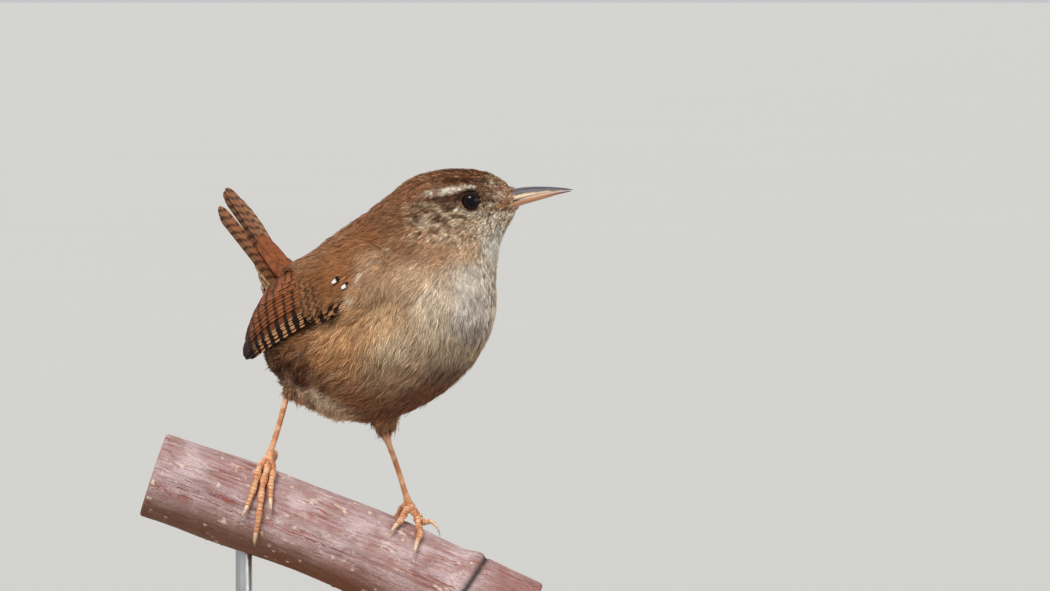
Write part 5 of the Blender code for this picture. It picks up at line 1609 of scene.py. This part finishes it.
def eyeFinish():
    finish = Finish("eye", Roughness=0.05)
    finish.shader.inputs["Specular IOR Level"].default_value = 0.17
    outward = finish.attribute("outward")
    streaks = finish.noise(finish.object(), 1800.0, 3.0)
    iris = finish.mix(streaks, (*paint(18, 9, 7), 1.0), (*paint(36, 16, 12), 1.0))
    tone = finish.mix(finish.smooth(outward, 0.84, 0.88), iris, (*paint(4, 3, 4), 1.0))
    tone = finish.mix(finish.smooth(outward, 0.62, 0.54), tone, (*paint(10, 7, 6), 1.0))
    return finish.feed(Base_Color=tone)


# The branch. Its places are given along it, round it from the top towards the bird's front, and above the bark

branch = {
    "yaw": math.radians(40.0),
    "height": 41.9,
    "offset": -3.0,
    "slope": -0.405,
    "bend": -0.00095,
    "halfLength": 39.0,
    "radius": 9.2,
    "scar": (24.5, 0.75, 2.2),  # place, height and width of the old ring
    "rings": 300,
    "around": 208,
}


def branchFrame(along):
    along = np.asarray(along, float)
    run = np.array([math.cos(branch["yaw"]), math.sin(branch["yaw"]), 0.0])
    away = np.array([-run[1], run[0], 0.0])
    height = branch["height"] + branch["slope"] * along + branch["bend"] * along**2
    slope = branch["slope"] + 2 * branch["bend"] * along
    middle = run * along[..., None] + away * branch["offset"] + np.array([0, 0, 1.0]) * height[..., None]
    direction = unit(run + np.array([0, 0, 1.0]) * slope[..., None])
    return middle, np.cross(direction, away), np.broadcast_to(-away, middle.shape)


def branchRadius(along, angle):
    lumps = 0.16 * np.sin(0.21 * along + 2 * angle) + 0.12 * np.sin(0.09 * along - 3 * angle + 1.3)
    place, height, width = branch["scar"]
    return branch["radius"] + lumps + height * np.exp(-(((along - place - 1.6 * np.cos(angle)) / width) ** 2))


def onBranch(along, degrees, lift):
    angle = np.radians(degrees)
    middle, up, near = branchFrame(along)
    out = up * np.cos(angle)[..., None] + near * np.sin(angle)[..., None]
    return middle + out * (branchRadius(along, angle) + lift)[..., None]


def makeBranch(finish):
    # a cylinder drawn along X, cut into rings, then laid on the branch's line and given its bark
    bpy.ops.object.select_all(action="DESELECT")
    bpy.ops.mesh.primitive_cylinder_add(vertices=branch["around"], radius=1.0, depth=2.0, end_fill_type="TRIFAN")
    piece = bpy.context.active_object
    piece.name = "branch_bark"
    bpy.ops.object.mode_set(mode="EDIT")
    form = bmesh.from_edit_mesh(piece.data)
    upright = [edge for edge in form.edges if abs(edge.verts[0].co.z - edge.verts[1].co.z) > 1]
    bmesh.ops.subdivide_edges(form, edges=upright, cuts=branch["rings"], use_grid_fill=True)
    spokes = [edge for edge in form.edges if any(v.co.xy.length < 0.01 for v in edge.verts)]
    bmesh.ops.subdivide_edges(form, edges=spokes, cuts=14)
    bmesh.update_edit_mesh(piece.data)
    bpy.ops.object.mode_set(mode="OBJECT")
    mesh = piece.data
    points = np.empty(len(mesh.vertices) * 3, np.float32)
    mesh.vertices.foreach_get("co", points)
    points = points.reshape(-1, 3).astype(float)
    reach = np.hypot(points[:, 0], points[:, 1])
    angle = np.arctan2(points[:, 0], points[:, 1])
    side = reach > 0.999
    along = points[:, 2] * branch["halfLength"]
    rolled = np.column_stack([along, 9.2 * np.cos(angle), 9.2 * np.sin(angle)])
    stretched = rolled * np.array([0.16, 1, 1])
    cracks = np.abs(mottle(stretched, 1.7, 21) - 0.5) * 2 + 0.5 * np.abs(mottle(stretched, 0.8, 22) - 0.5)
    crack = step(0.20, 0.02, cracks)
    plates = mottle(rolled * np.array([0.35, 1, 1]), 2.2, 23)
    pores = mottle(rolled * np.array([0.55, 1, 1]), 0.62, 24)
    pore = step(0.80, 0.90, pores) * step(0.35, 0.5, mottle(rolled, 6.0, 25))
    relief = 0.10 * (plates - 0.5) - 0.12 * crack + 0.16 * pore + 0.05 * (mottle(rolled, 0.45, 26) - 0.5)
    place0, _, width = branch["scar"]
    ringGap = np.abs(along - place0 - 1.6 * np.cos(angle) - 1.1) / width
    groove = np.exp(-((ringGap / 0.28) ** 2))
    relief = relief - 0.55 * groove * side
    # the sawn ends dish in a little and show their rings
    cut = np.where(side, 0.0, 1.0)
    end = np.sign(along)
    dish = cut * end * (-0.12 * (1 - reach**2) + 0.03 * np.sin(reach * 46 + 3 * mottle(points * 3, 1.0, 27)))
    radius = np.where(side, 1.0, reach)
    surface = branchRadius(along, angle) + np.where(side, relief, 0)
    chamfer = 0.35 * step(branch["halfLength"] - 0.4, branch["halfLength"], np.abs(along)) * side
    middle, up, near = branchFrame(along + dish)
    spots = middle + (up * np.cos(angle)[:, None] + near * np.sin(angle)[:, None]) * ((surface - chamfer) * radius)[:, None]
    mesh.vertices.foreach_set("co", (spots * mm).astype(np.float32).ravel())
    mesh.update()
    for name in [layer.name for layer in mesh.uv_layers]:
        mesh.uv_layers.remove(mesh.uv_layers[name])
    setLayer(mesh, "crack", crack)
    setLayer(mesh, "pore", pore * side)
    setLayer(mesh, "groove", groove * side)
    # how far round towards the underside a place is; the bark finish paints the underside darker as painted shade
    setLayer(mesh, "under", 0.5 - 0.5 * np.cos(angle - 0.2))
    setLayer(mesh, "along", along / branch["halfLength"])
    setLayer(mesh, "sawn", cut)
    setLayer(mesh, "reach", radius)
    selectOnly(piece)
    bpy.ops.object.mode_set(mode="EDIT")
    bpy.ops.mesh.select_all(action="SELECT")
    bpy.ops.mesh.normals_make_consistent(inside=False)
    bpy.ops.object.mode_set(mode="OBJECT")
    mesh.shade_smooth()
    selectOnly(piece)
    bpy.ops.object.shade_smooth_by_angle(angle=math.radians(50))
    mesh.materials.clear()
    mesh.materials.append(finish)
    print("branch", len(mesh.polygons), "faces")
    return place(piece, "bark", ("perch",))


barkColours = {
    "lilac": paint(164, 141, 142),
    "lilacLight": paint(194, 176, 177),
    "pink": paint(150, 115, 110),
    "fissure": paint(142, 70, 54),
    "crack": paint(92, 52, 46),
    "pore": paint(216, 194, 176),
    "under": paint(112, 74, 54),
    "scar": paint(46, 34, 30),
    "knot": paint(120, 58, 46),
    "wood": paint(206, 178, 140),
    "woodDark": paint(168, 132, 94),
}


def barkFinish():
    finish = Finish("bark")
    finish.shader.inputs["Specular IOR Level"].default_value = 0.2
    crack, pore, groove, under, along, sawn, reach = (
        finish.attribute(name) for name in ("crack", "pore", "groove", "under", "along", "sawn", "reach"))
    colours = {name: (*value, 1.0) for name, value in barkColours.items()}
    slope = math.atan(-branch["slope"])
    turned = finish.stretched(finish.object(), (1, 1, 1), (0, 0, -branch["yaw"]))
    level = finish.stretched(turned, (1, 1, 1), (0, -slope, 0))
    wander = finish.node("VectorMath", {"operation": "SCALE"}, {0: finish.noise(level, 350.0, 2.0), 3: 0.0012})
    bent = finish.node("VectorMath", {"operation": "ADD"}, {0: level, 1: wander})

    def linesOf(scale, low, high):
        # thin lines that run along the branch: where a long stretched noise is high
        return finish.smooth(finish.noise(finish.stretched(bent, scale), 1.0, 2.0), low, high)

    streaks = finish.noise(finish.stretched(level, (110, 820, 820)), 1.0, 5.0, 0.6)
    broken = finish.smooth(finish.noise(finish.stretched(level, (60, 260, 260)), 1.0, 3.0), 0.38, 0.56)
    fissures = linesOf((60, 2300, 2300), 0.58, 0.65) * broken
    threads = linesOf((90, 4200, 4200), 0.54, 0.64)
    patches = finish.noise(finish.object(), 130.0, 3.0)
    fine = finish.noise(finish.object(), 2600.0, 3.0)
    tone = finish.mix(finish.smooth(streaks, 0.35, 0.66), colours["pink"], colours["lilac"])
    tone = finish.mix(finish.smooth(patches, 0.40, 0.70) * 0.7, tone, colours["lilacLight"])
    tone = finish.mix(threads * 0.42, tone, colours["fissure"])
    tone = finish.mix(fissures * 0.85, tone, colours["fissure"])
    tone = finish.mix(crack * 0.35, tone, colours["crack"])
    # the underside of the branch is painted darker and browner: painted shade
    tone = finish.mix(finish.smooth(under + (streaks - 0.5) * 0.35, 0.50, 0.80) * 0.85, tone, colours["under"])
    tone = finish.mix(pore * 0.85, tone, colours["pore"])
    knot = finish.smooth(along + (patches - 0.5) * 0.3, 0.70, 0.80)
    tone = finish.mix(knot * 0.5, tone, colours["knot"])
    tone = finish.mix(groove * 0.95, tone, colours["scar"])
    rings = finish.node("Math", {"operation": "SINE"}, {0: (reach + (patches - 0.5) * 0.06) * 62.0})
    wood = finish.mix(finish.smooth(rings, -0.4, 0.9), colours["wood"], colours["woodDark"])
    wood = finish.mix(finish.smooth(reach, 0.90, 0.97), wood, colours["crack"])
    tone = finish.mix(sawn, tone, wood)
    light = finish.smooth(fine, 0.2, 0.8, 0.82, 1.14)
    tone = finish.node("VectorMath", {"operation": "SCALE"}, {0: tone, 3: light})
    height = fine * 0.5 + streaks * 0.7 - fissures * 0.5 - threads * 0.3
    return finish.feed(Base_Color=tone, Roughness=finish.smooth(fine, 0.2, 0.8, 0.7, 0.92),
                       Normal=finish.bump(height, 0.00022, 0.8))


feet = {
    "right": {
        "ankle": (-18.6, 4.0, 1.7),
        "hock": (-6.4, -9.1, 73.4),
        "toes": (
            ((-17.0, 24, 1.5), (-16.4, 48, 1.0), (-15.5, 66, 1.0), (-14.9, 76, 1.9), (-14.1, 86, 0.7)),
            ((-18.2, 27, 1.6), (-17.8, 54, 1.0), (-16.6, 86, 1.0), (-15.8, 110, 1.0), (-15.5, 122, 1.9),
             (-15.0, 132, 0.7)),
            ((-19.6, 27, 1.5), (-19.3, 55, 1.0), (-19.2, 84, 1.0), (-19.3, 94, 1.9), (-19.6, 103, 0.7)),
            ((-17.9, -14, 3.4), (-17.6, -34, 2.0), (-17.5, -50, 1.2), (-17.6, -63, 2.2), (-17.6, -76, 0.8)),
        ),
    },
    "left": {
        "ankle": (9.9, -2.0, 3.2),
        "hock": (9.7, 3.9, 64.2),
        "toes": (
            ((9.6, 12, 2.0), (9.4, 24, 1.0), (9.0, 34, 1.0), (8.7, 44, 2.0), (8.2, 54, 0.7)),
            ((11.6, 9, 2.4), (13.0, 20, 1.2), (13.8, 34, 1.0), (13.8, 46, 1.0), (14.0, 58, 1.9), (14.4, 69, 0.7)),
            ((11.9, 2, 2.4), (13.4, 6, 1.6), (14.8, 9, 2.6), (16.2, 12, 2.7), (17.5, 16, 0.8)),
            ((8.9, -20, 3.2), (8.6, -36, 1.8), (8.5, -50, 1.2), (8.4, -63, 2.2), (8.4, -76, 0.8)),
        ),
    },
}
leg = {"tarsus": 0.62, "toe": 0.68, "scute": 1.5, "toeScute": 0.85}


def bandOf(at, pitch, phase=0.0):
    # where each place lies within its scale, from 0 to 1, and how near it is to a seam
    part = (at / pitch + phase) % 1.0
    seam = np.exp(-((part / 0.10) ** 2)) + np.exp(-(((1 - part) / 0.08) ** 2))
    return part, np.clip(seam, 0, 1)


def scuted(at, pitch, depth, phase=0.0):
    # overlapping scales: each band swells slowly and ends in a small step
    part, seam = bandOf(at, pitch, phase)
    return 1 + depth * (part**0.7 - 0.5) - depth * 1.5 * seam


def layBands(piece, path, at, pitch, phase, ahead, strength=1.0):
    # the scales' seams as a layer, fading round the back of the leg or under the toe
    points = meshPoints(piece.data)
    nearest = np.argmin(np.linalg.norm(points[:, None] - path[None], axis=2), axis=1)
    facing = step(-0.6, 0.1, np.sum(unit(points - path[nearest]) * ahead, axis=1))
    setLayer(piece.data, "seam", bandOf(at[nearest], pitch, phase)[1] * facing * strength)
    setLayer(piece.data, "shade", np.clip(at[nearest] / at[-1], 0, 1))


def makeLeg(word, skinFinish, hornFinish):
    sizes = feet[word]
    hock = np.array(sizes["hock"])
    ankle = onBranch(*(np.array(v, float) for v in sizes["ankle"]))
    down = unit(ankle - hock)
    start, end = hock - down * 0.6, ankle - down * 0.2
    path, at = finePath([start, start * 0.5 + end * 0.5 + np.array([0.25, 0, 0]), end], 170)
    share = at / at[-1]
    shape = np.interp(share, (0, 0.05, 0.16, 0.5, 0.84, 0.95, 1), (1.35, 1.5, 1.0, 0.92, 1.0, 1.45, 1.3))
    radii = leg["tarsus"] * shape * scuted(at, leg["scute"], 0.025)
    tarsus = bareTube("tarsus_skin_" + word, path, radii, 24)
    layBands(tarsus, path, at, leg["scute"], 0.0, np.array([0.8, -0.5, 0]), 0.35)
    tarsus.data.materials.append(skinFinish)
    place(tarsus, "leg_skin", ("tarsus_" + word,))
    parts = []
    bpy.ops.object.select_all(action="DESELECT")
    bpy.ops.mesh.primitive_uv_sphere_add(segments=40, ring_count=24, radius=1.0 * mm)
    pad = bpy.context.active_object
    points = meshPoints(pad.data)
    bumps = 1 + 0.08 * (mottle(points * 3 + 10, 1.0, 5)[:, None] - 0.5)
    pad.data.vertices.foreach_set(
        "co", ((points * np.array([1.28, 1.28, 1.10]) * bumps + ankle) * mm).astype(np.float32).ravel())
    pad.data.shade_smooth()
    setLayer(pad.data, "seam", 0.5 * step(0.55, 0.75, mottle(points * 4, 1.0, 9)))
    setLayer(pad.data, "shade", np.full(len(points), 0.1))
    parts.append(pad)
    for number, toe in enumerate(sizes["toes"], 1):
        rows = np.array(toe, float)
        joints = np.concatenate([[ankle], onBranch(rows[:, 0], rows[:, 1], rows[:, 2])])
        bare, at = finePath(joints[:-2], 120)
        share = at / at[-1]
        shape = np.interp(share, (0, 0.5, 0.9, 1), (1.12, 1.0, 0.90, 0.66))
        knuckles = 1 + 0.15 * np.cos(share * (len(joints) - 2) * 2 * math.pi)
        phase = 0.3 * number
        radii = leg["toe"] * shape * knuckles * scuted(at, leg["toeScute"], 0.07, phase)
        toeSkin = bareTube("toe", bare, radii, 20)
        away = unit(bare.mean(axis=0) - branchFrame(rows[0, 0])[0])
        layBands(toeSkin, bare, at, leg["toeScute"], phase, away)
        parts.append(toeSkin)
        # the claw comes out of the toe's end, deep at its root and thin at its point
        start, bend, point = joints[-3:]
        t = np.linspace(0, 1, 26)[:, None]
        start = start - unit(bend - start) * 0.25
        curve = (1 - t) ** 2 * start + 2 * t * (1 - t) * bend + t**2 * point
        width = leg["toe"] * np.interp(t[:, 0], (0, 0.15, 0.5, 1), (0.60, 0.68, 0.44, 0.06))
        claw = bareTube("claw_horn_{}_{}".format(word, number), curve, width, 16)
        setLayer(claw.data, "tipward", np.clip(np.linalg.norm(meshPoints(claw.data) - start, axis=1) / 3.0, 0, 1))
        claw.data.materials.append(hornFinish)
        place(claw, "claw_horn", ("claw_{}_{}".format(word, number),))
    selectOnly(*parts)
    bpy.ops.object.join()
    foot = bpy.context.active_object
    foot.name = "foot_skin_" + word
    foot.data.materials.append(skinFinish)
    place(foot, "leg_skin", ("foot_" + word,))


def legFinish():
    finish = Finish("leg skin")
    finish.shader.inputs["Specular IOR Level"].default_value = 0.5
    spots = finish.object()
    soft, fine = finish.noise(spots, 520.0, 3.0), finish.noise(spots, 2800.0, 2.0)
    cells = finish.node("TexVoronoi", {"feature": "DISTANCE_TO_EDGE"}, {"Vector": spots, "Scale": 2300.0})
    seams = finish.smooth(cells, 0.10, 0.0)
    seam, shade = finish.attribute("seam"), finish.attribute("shade")
    tone = finish.mix(finish.smooth(soft, 0.38, 0.62), (*paint(224, 174, 132), 1.0), (*paint(184, 110, 62), 1.0))
    tone = finish.mix(finish.smooth(shade, 0.4, 1.0) * 0.55, tone, (*paint(206, 150, 106), 1.0))
    # pale flecks from fine noise: painted highlights on the glossy skin
    tone = finish.mix(finish.smooth(fine, 0.55, 0.8) * 0.45, tone, (*paint(246, 220, 190), 1.0))
    tone = finish.mix(seams * 0.30, tone, (*paint(140, 84, 58), 1.0))
    tone = finish.mix(finish.smooth(seam, 0.15, 0.9) * 0.70, tone, (*paint(132, 68, 36), 1.0))
    return finish.feed(Base_Color=tone, Roughness=finish.smooth(fine, 0.2, 0.8, 0.24, 0.38),
                       Normal=finish.bump(fine - seams * 0.8 - seam, 0.00006, 0.7))


def hornFinish():
    finish = Finish("claw horn", Coat_Roughness=0.2)
    finish.shader.inputs["Coat Weight"].default_value = 0.2
    tipward = finish.attribute("tipward")
    streaks = finish.noise(finish.stretched(finish.object(), (600, 600, 2200)), 1.0, 3.0)
    tone = finish.mix(tipward, (*paint(214, 180, 148), 1.0), (*paint(200, 176, 150), 1.0))
    tone = finish.mix(finish.smooth(tipward, 0.80, 1.0) * 0.7, tone, (*paint(128, 102, 84), 1.0))
    tone = finish.mix(finish.smooth(streaks, 0.4, 0.7) * 0.3, tone, (*paint(150, 116, 90), 1.0))
    return finish.feed(Base_Color=tone, Roughness=finish.smooth(streaks, 0.2, 0.8, 0.3, 0.45))


# The display stand: a turned base and two rods

stand = {
    "radius": 44.0,
    "thickness": 9.0,
    "rounding": 1.6,
    "rodRadius": 1.75,
    "rodPlaces": (-20.0, 20.0),
    "collar": (3.1, 1.5),
}


def makeBase(finish):
    # a profile is drawn and spun into the turned base, with a shallow moulding round its edge
    profile = [(0, 0), (42.6, 0), (43.6, 0.5), (44.0, 1.5), (44.0, 4.4), (43.6, 4.9), (43.0, 5.1), (42.9, 5.5),
               (43.0, 6.0), (43.0, 7.2), (42.4, 8.4), (41.4, 8.9), (40.0, 9.0), (0, 9.0)]
    bpy.ops.object.select_all(action="DESELECT")
    mesh = bpy.data.meshes.new("base_wood")
    edges = [(k, k + 1) for k in range(len(profile) - 1)]
    mesh.from_pydata([(x * mm, 0, z * mm) for x, z in profile], edges, [])
    piece = bpy.data.objects.new("base_wood", mesh)
    bpy.context.scene.collection.objects.link(piece)
    selectOnly(piece)
    bpy.ops.object.mode_set(mode="EDIT")
    bpy.ops.mesh.select_all(action="SELECT")
    bpy.ops.mesh.spin(steps=160, angle=2 * math.pi, center=(0, 0, 0), axis=(0, 0, 1))
    bpy.ops.mesh.select_all(action="SELECT")
    bpy.ops.mesh.remove_doubles(threshold=1e-6)
    bpy.ops.mesh.normals_make_consistent(inside=False)
    bpy.ops.object.mode_set(mode="OBJECT")
    selectOnly(piece)
    modify(piece, "BEVEL", width=0.00018, segments=2, limit_method="ANGLE")
    bpy.ops.object.shade_smooth_by_angle(angle=math.radians(40))
    piece.data.materials.append(finish)
    return place(piece, "base_wood", ("stand_base",))


def woodFinish():
    finish = Finish("base wood", Coat_Roughness=0.3)
    finish.shader.inputs["Coat Weight"].default_value = 0.15
    spots = finish.object()
    bend = finish.noise(spots, 14.0, 3.0)
    long = finish.stretched(spots, (9.0, 120.0, 60.0))
    x, y, z = finish.parts(long)
    grain = finish.node("Math", {"operation": "SINE"}, {0: (y + z * 0.5 + bend * 9.0) * 2.2})
    pores = finish.noise(finish.stretched(spots, (110.0, 2600.0, 2600.0)), 1.0, 3.0)
    tone = finish.mix(finish.smooth(grain, -0.8, 0.9), (*paint(196, 158, 116), 1.0), (*paint(168, 126, 86), 1.0))
    tone = finish.mix(finish.smooth(pores, 0.56, 0.72) * 0.5, tone, (*paint(120, 84, 56), 1.0))
    tone = finish.mix(finish.noise(spots, 40.0, 2.0) * 0.3, tone, (*paint(206, 172, 132), 1.0))
    return finish.feed(Base_Color=tone, Roughness=finish.smooth(pores, 0.2, 0.8, 0.36, 0.55),
                       Normal=finish.bump(pores + grain * 0.2, 0.00006, 0.5))


def makeRods(finish):
    for number, along in enumerate(stand["rodPlaces"], 1):
        middle = branchFrame(along)[0]
        top = middle[2] - branch["radius"] * 1.05 + 4.5
        low = stand["thickness"] - 5.0
        bpy.ops.object.select_all(action="DESELECT")
        bpy.ops.mesh.primitive_cylinder_add(vertices=64, radius=stand["rodRadius"] * mm, depth=(top - low) * mm,
                                            location=(middle[0] * mm, middle[1] * mm, (top + low) / 2 * mm))
        rod = bpy.context.active_object
        rod.name = "rod_{}".format(number)
        bpy.ops.object.transform_apply(location=True, rotation=True, scale=True)
        modify(rod, "BEVEL", width=0.00025, segments=2, limit_method="ANGLE")
        radius, height = stand["collar"]
        bpy.ops.object.select_all(action="DESELECT")
        bpy.ops.mesh.primitive_cylinder_add(
            vertices=64, radius=radius * mm, depth=height * mm,
            location=(middle[0] * mm, middle[1] * mm, (stand["thickness"] + height / 2 + 0.02) * mm))
        collar = bpy.context.active_object
        bpy.ops.object.transform_apply(location=True, rotation=True, scale=True)
        modify(collar, "BEVEL", width=0.00035, segments=3, limit_method="ANGLE")
        selectOnly(rod, collar)
        bpy.ops.object.join()
        bpy.ops.object.shade_smooth_by_angle(angle=math.radians(40))
        rod.data.materials.append(finish)
        place(rod, "rod_steel", ("stand_rod_{}".format(number),))


def steelFinish():
    finish = Finish("rod steel", Metallic=1.0)
    brushed = finish.noise(finish.stretched(finish.object(), (5200.0, 5200.0, 90.0)), 1.0, 3.0)
    smears = finish.noise(finish.object(), 160.0, 2.0)
    tone = finish.mix(brushed, (*paint(168, 170, 172), 1.0), (*paint(196, 197, 198), 1.0))
    return finish.feed(Base_Color=tone, Roughness=finish.smooth(smears, 0.2, 0.8, 0.24, 0.38) + brushed * 0.06,
                       Normal=finish.bump(brushed, 0.00002, 0.4))


def makeAll():
    makeCoat()
    barred = barredFinish()
    for word, side in (("left", 1), ("right", -1)):
        makeWing(word, side, barred)
    makeTail(barred)
    print("wings and tail")
    horn = billFinish()
    makeBillHalf("bill_upper_horn", True, "bill_upper", horn)
    makeBillHalf("bill_lower_horn", False, "bill_lower", horn)
    glass = eyeFinish()
    for word, side in (("left", 1), ("right", -1)):
        makeEye(word, side, glass)
    legSkin, claws = legFinish(), hornFinish()
    for word in ("left", "right"):
        makeLeg(word, legSkin, claws)
    print("bare parts")
    makeBranch(barkFinish())
    makeBase(woodFinish())
    makeRods(steelFinish())
    print("branch and stand")


makeAll()


# The camera, the floor and the light

view = {
    "target": (0.0300, 0.02517, 0.0937),  # metres
    "distance": 1.5,
    "azimuth": 40.0,
    "height": 2.5,
    "lens": 244.3,
}
studio = {
    "floor": paint(172, 172, 170),
    "floorRadius": 60.0,
    "sky": (0.86, 0.88, 0.90),
    "skyLight": 0.66,
    # name: direction that the light comes from, seen from the camera (right, away, up), strength, softness, colour
    "lamps": {
        "key": ((-0.38, -1.0, 1.15), 3.1, 26.0, (1.0, 0.97, 0.92)),
        "fill": ((1.3, -0.8, 0.15), 1.1, 50.0, (1.0, 0.97, 0.95)),
        "back": ((-0.3, 1.0, 0.9), 0.8, 40.0, (1.0, 0.98, 0.95)),
    },
}


def makeStudio():
    azimuth, height = math.radians(view["azimuth"]), math.radians(view["height"])
    back = Vector((math.sin(azimuth) * math.cos(height), -math.cos(azimuth) * math.cos(height), math.sin(height)))
    right = Vector((math.cos(azimuth), math.sin(azimuth), 0))
    away = Vector((-right.y, right.x, 0))
    target = Vector(view["target"])
    camera = bpy.data.cameras.new("camera")
    camera.lens = view["lens"]
    camera.sensor_width = 36.0
    camera.clip_end = 100.0
    cameraObject = bpy.data.objects.new("camera", camera)
    bpy.context.scene.collection.objects.link(cameraObject)
    cameraObject.location = target + back * view["distance"]
    cameraObject.rotation_euler = (-back).to_track_quat("-Z", "Y").to_euler()
    bpy.context.scene.camera = cameraObject

    bpy.ops.object.select_all(action="DESELECT")
    bpy.ops.mesh.primitive_circle_add(vertices=96, radius=studio["floorRadius"], fill_type="NGON")
    floor = bpy.context.active_object
    floor.name = "floor"
    finish = Finish("pale floor", Roughness=0.9)
    cloud = finish.noise(finish.object(), 3.0, 3.0)
    tone = finish.mix(cloud, (*studio["floor"], 1.0), (*studio["floor"] * 0.97, 1.0))
    floor.data.materials.append(finish.feed(Base_Color=tone))
    floor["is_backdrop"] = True

    world = bpy.data.worlds.new("soft light")
    world.use_nodes = True
    shader = world.node_tree.nodes["Background"]
    shader.inputs["Color"].default_value = (*studio["sky"], 1.0)
    shader.inputs["Strength"].default_value = studio["skyLight"]
    bpy.context.scene.world = world
    for name, ((across, towards, up), power, softness, colour) in studio["lamps"].items():
        lamp = bpy.data.lights.new(name, "SUN")
        lamp.angle = math.radians(softness)
        lamp.energy = power
        lamp.color = colour
        lampObject = bpy.data.objects.new(name, lamp)
        bpy.context.scene.collection.objects.link(lampObject)
        offset = right * across + away * towards + Vector((0, 0, up))
        lampObject.location = target + offset
        lampObject.rotation_euler = (-offset).to_track_quat("-Z", "Y").to_euler()
    bpy.context.scene.view_settings.view_transform = "Standard"


makeStudio()

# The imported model's box and the dressed model's, side by side
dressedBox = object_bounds()
sizes = {"cad": [list(corner) for corner in cadBox], "visual": [list(corner) for corner in dressedBox]}
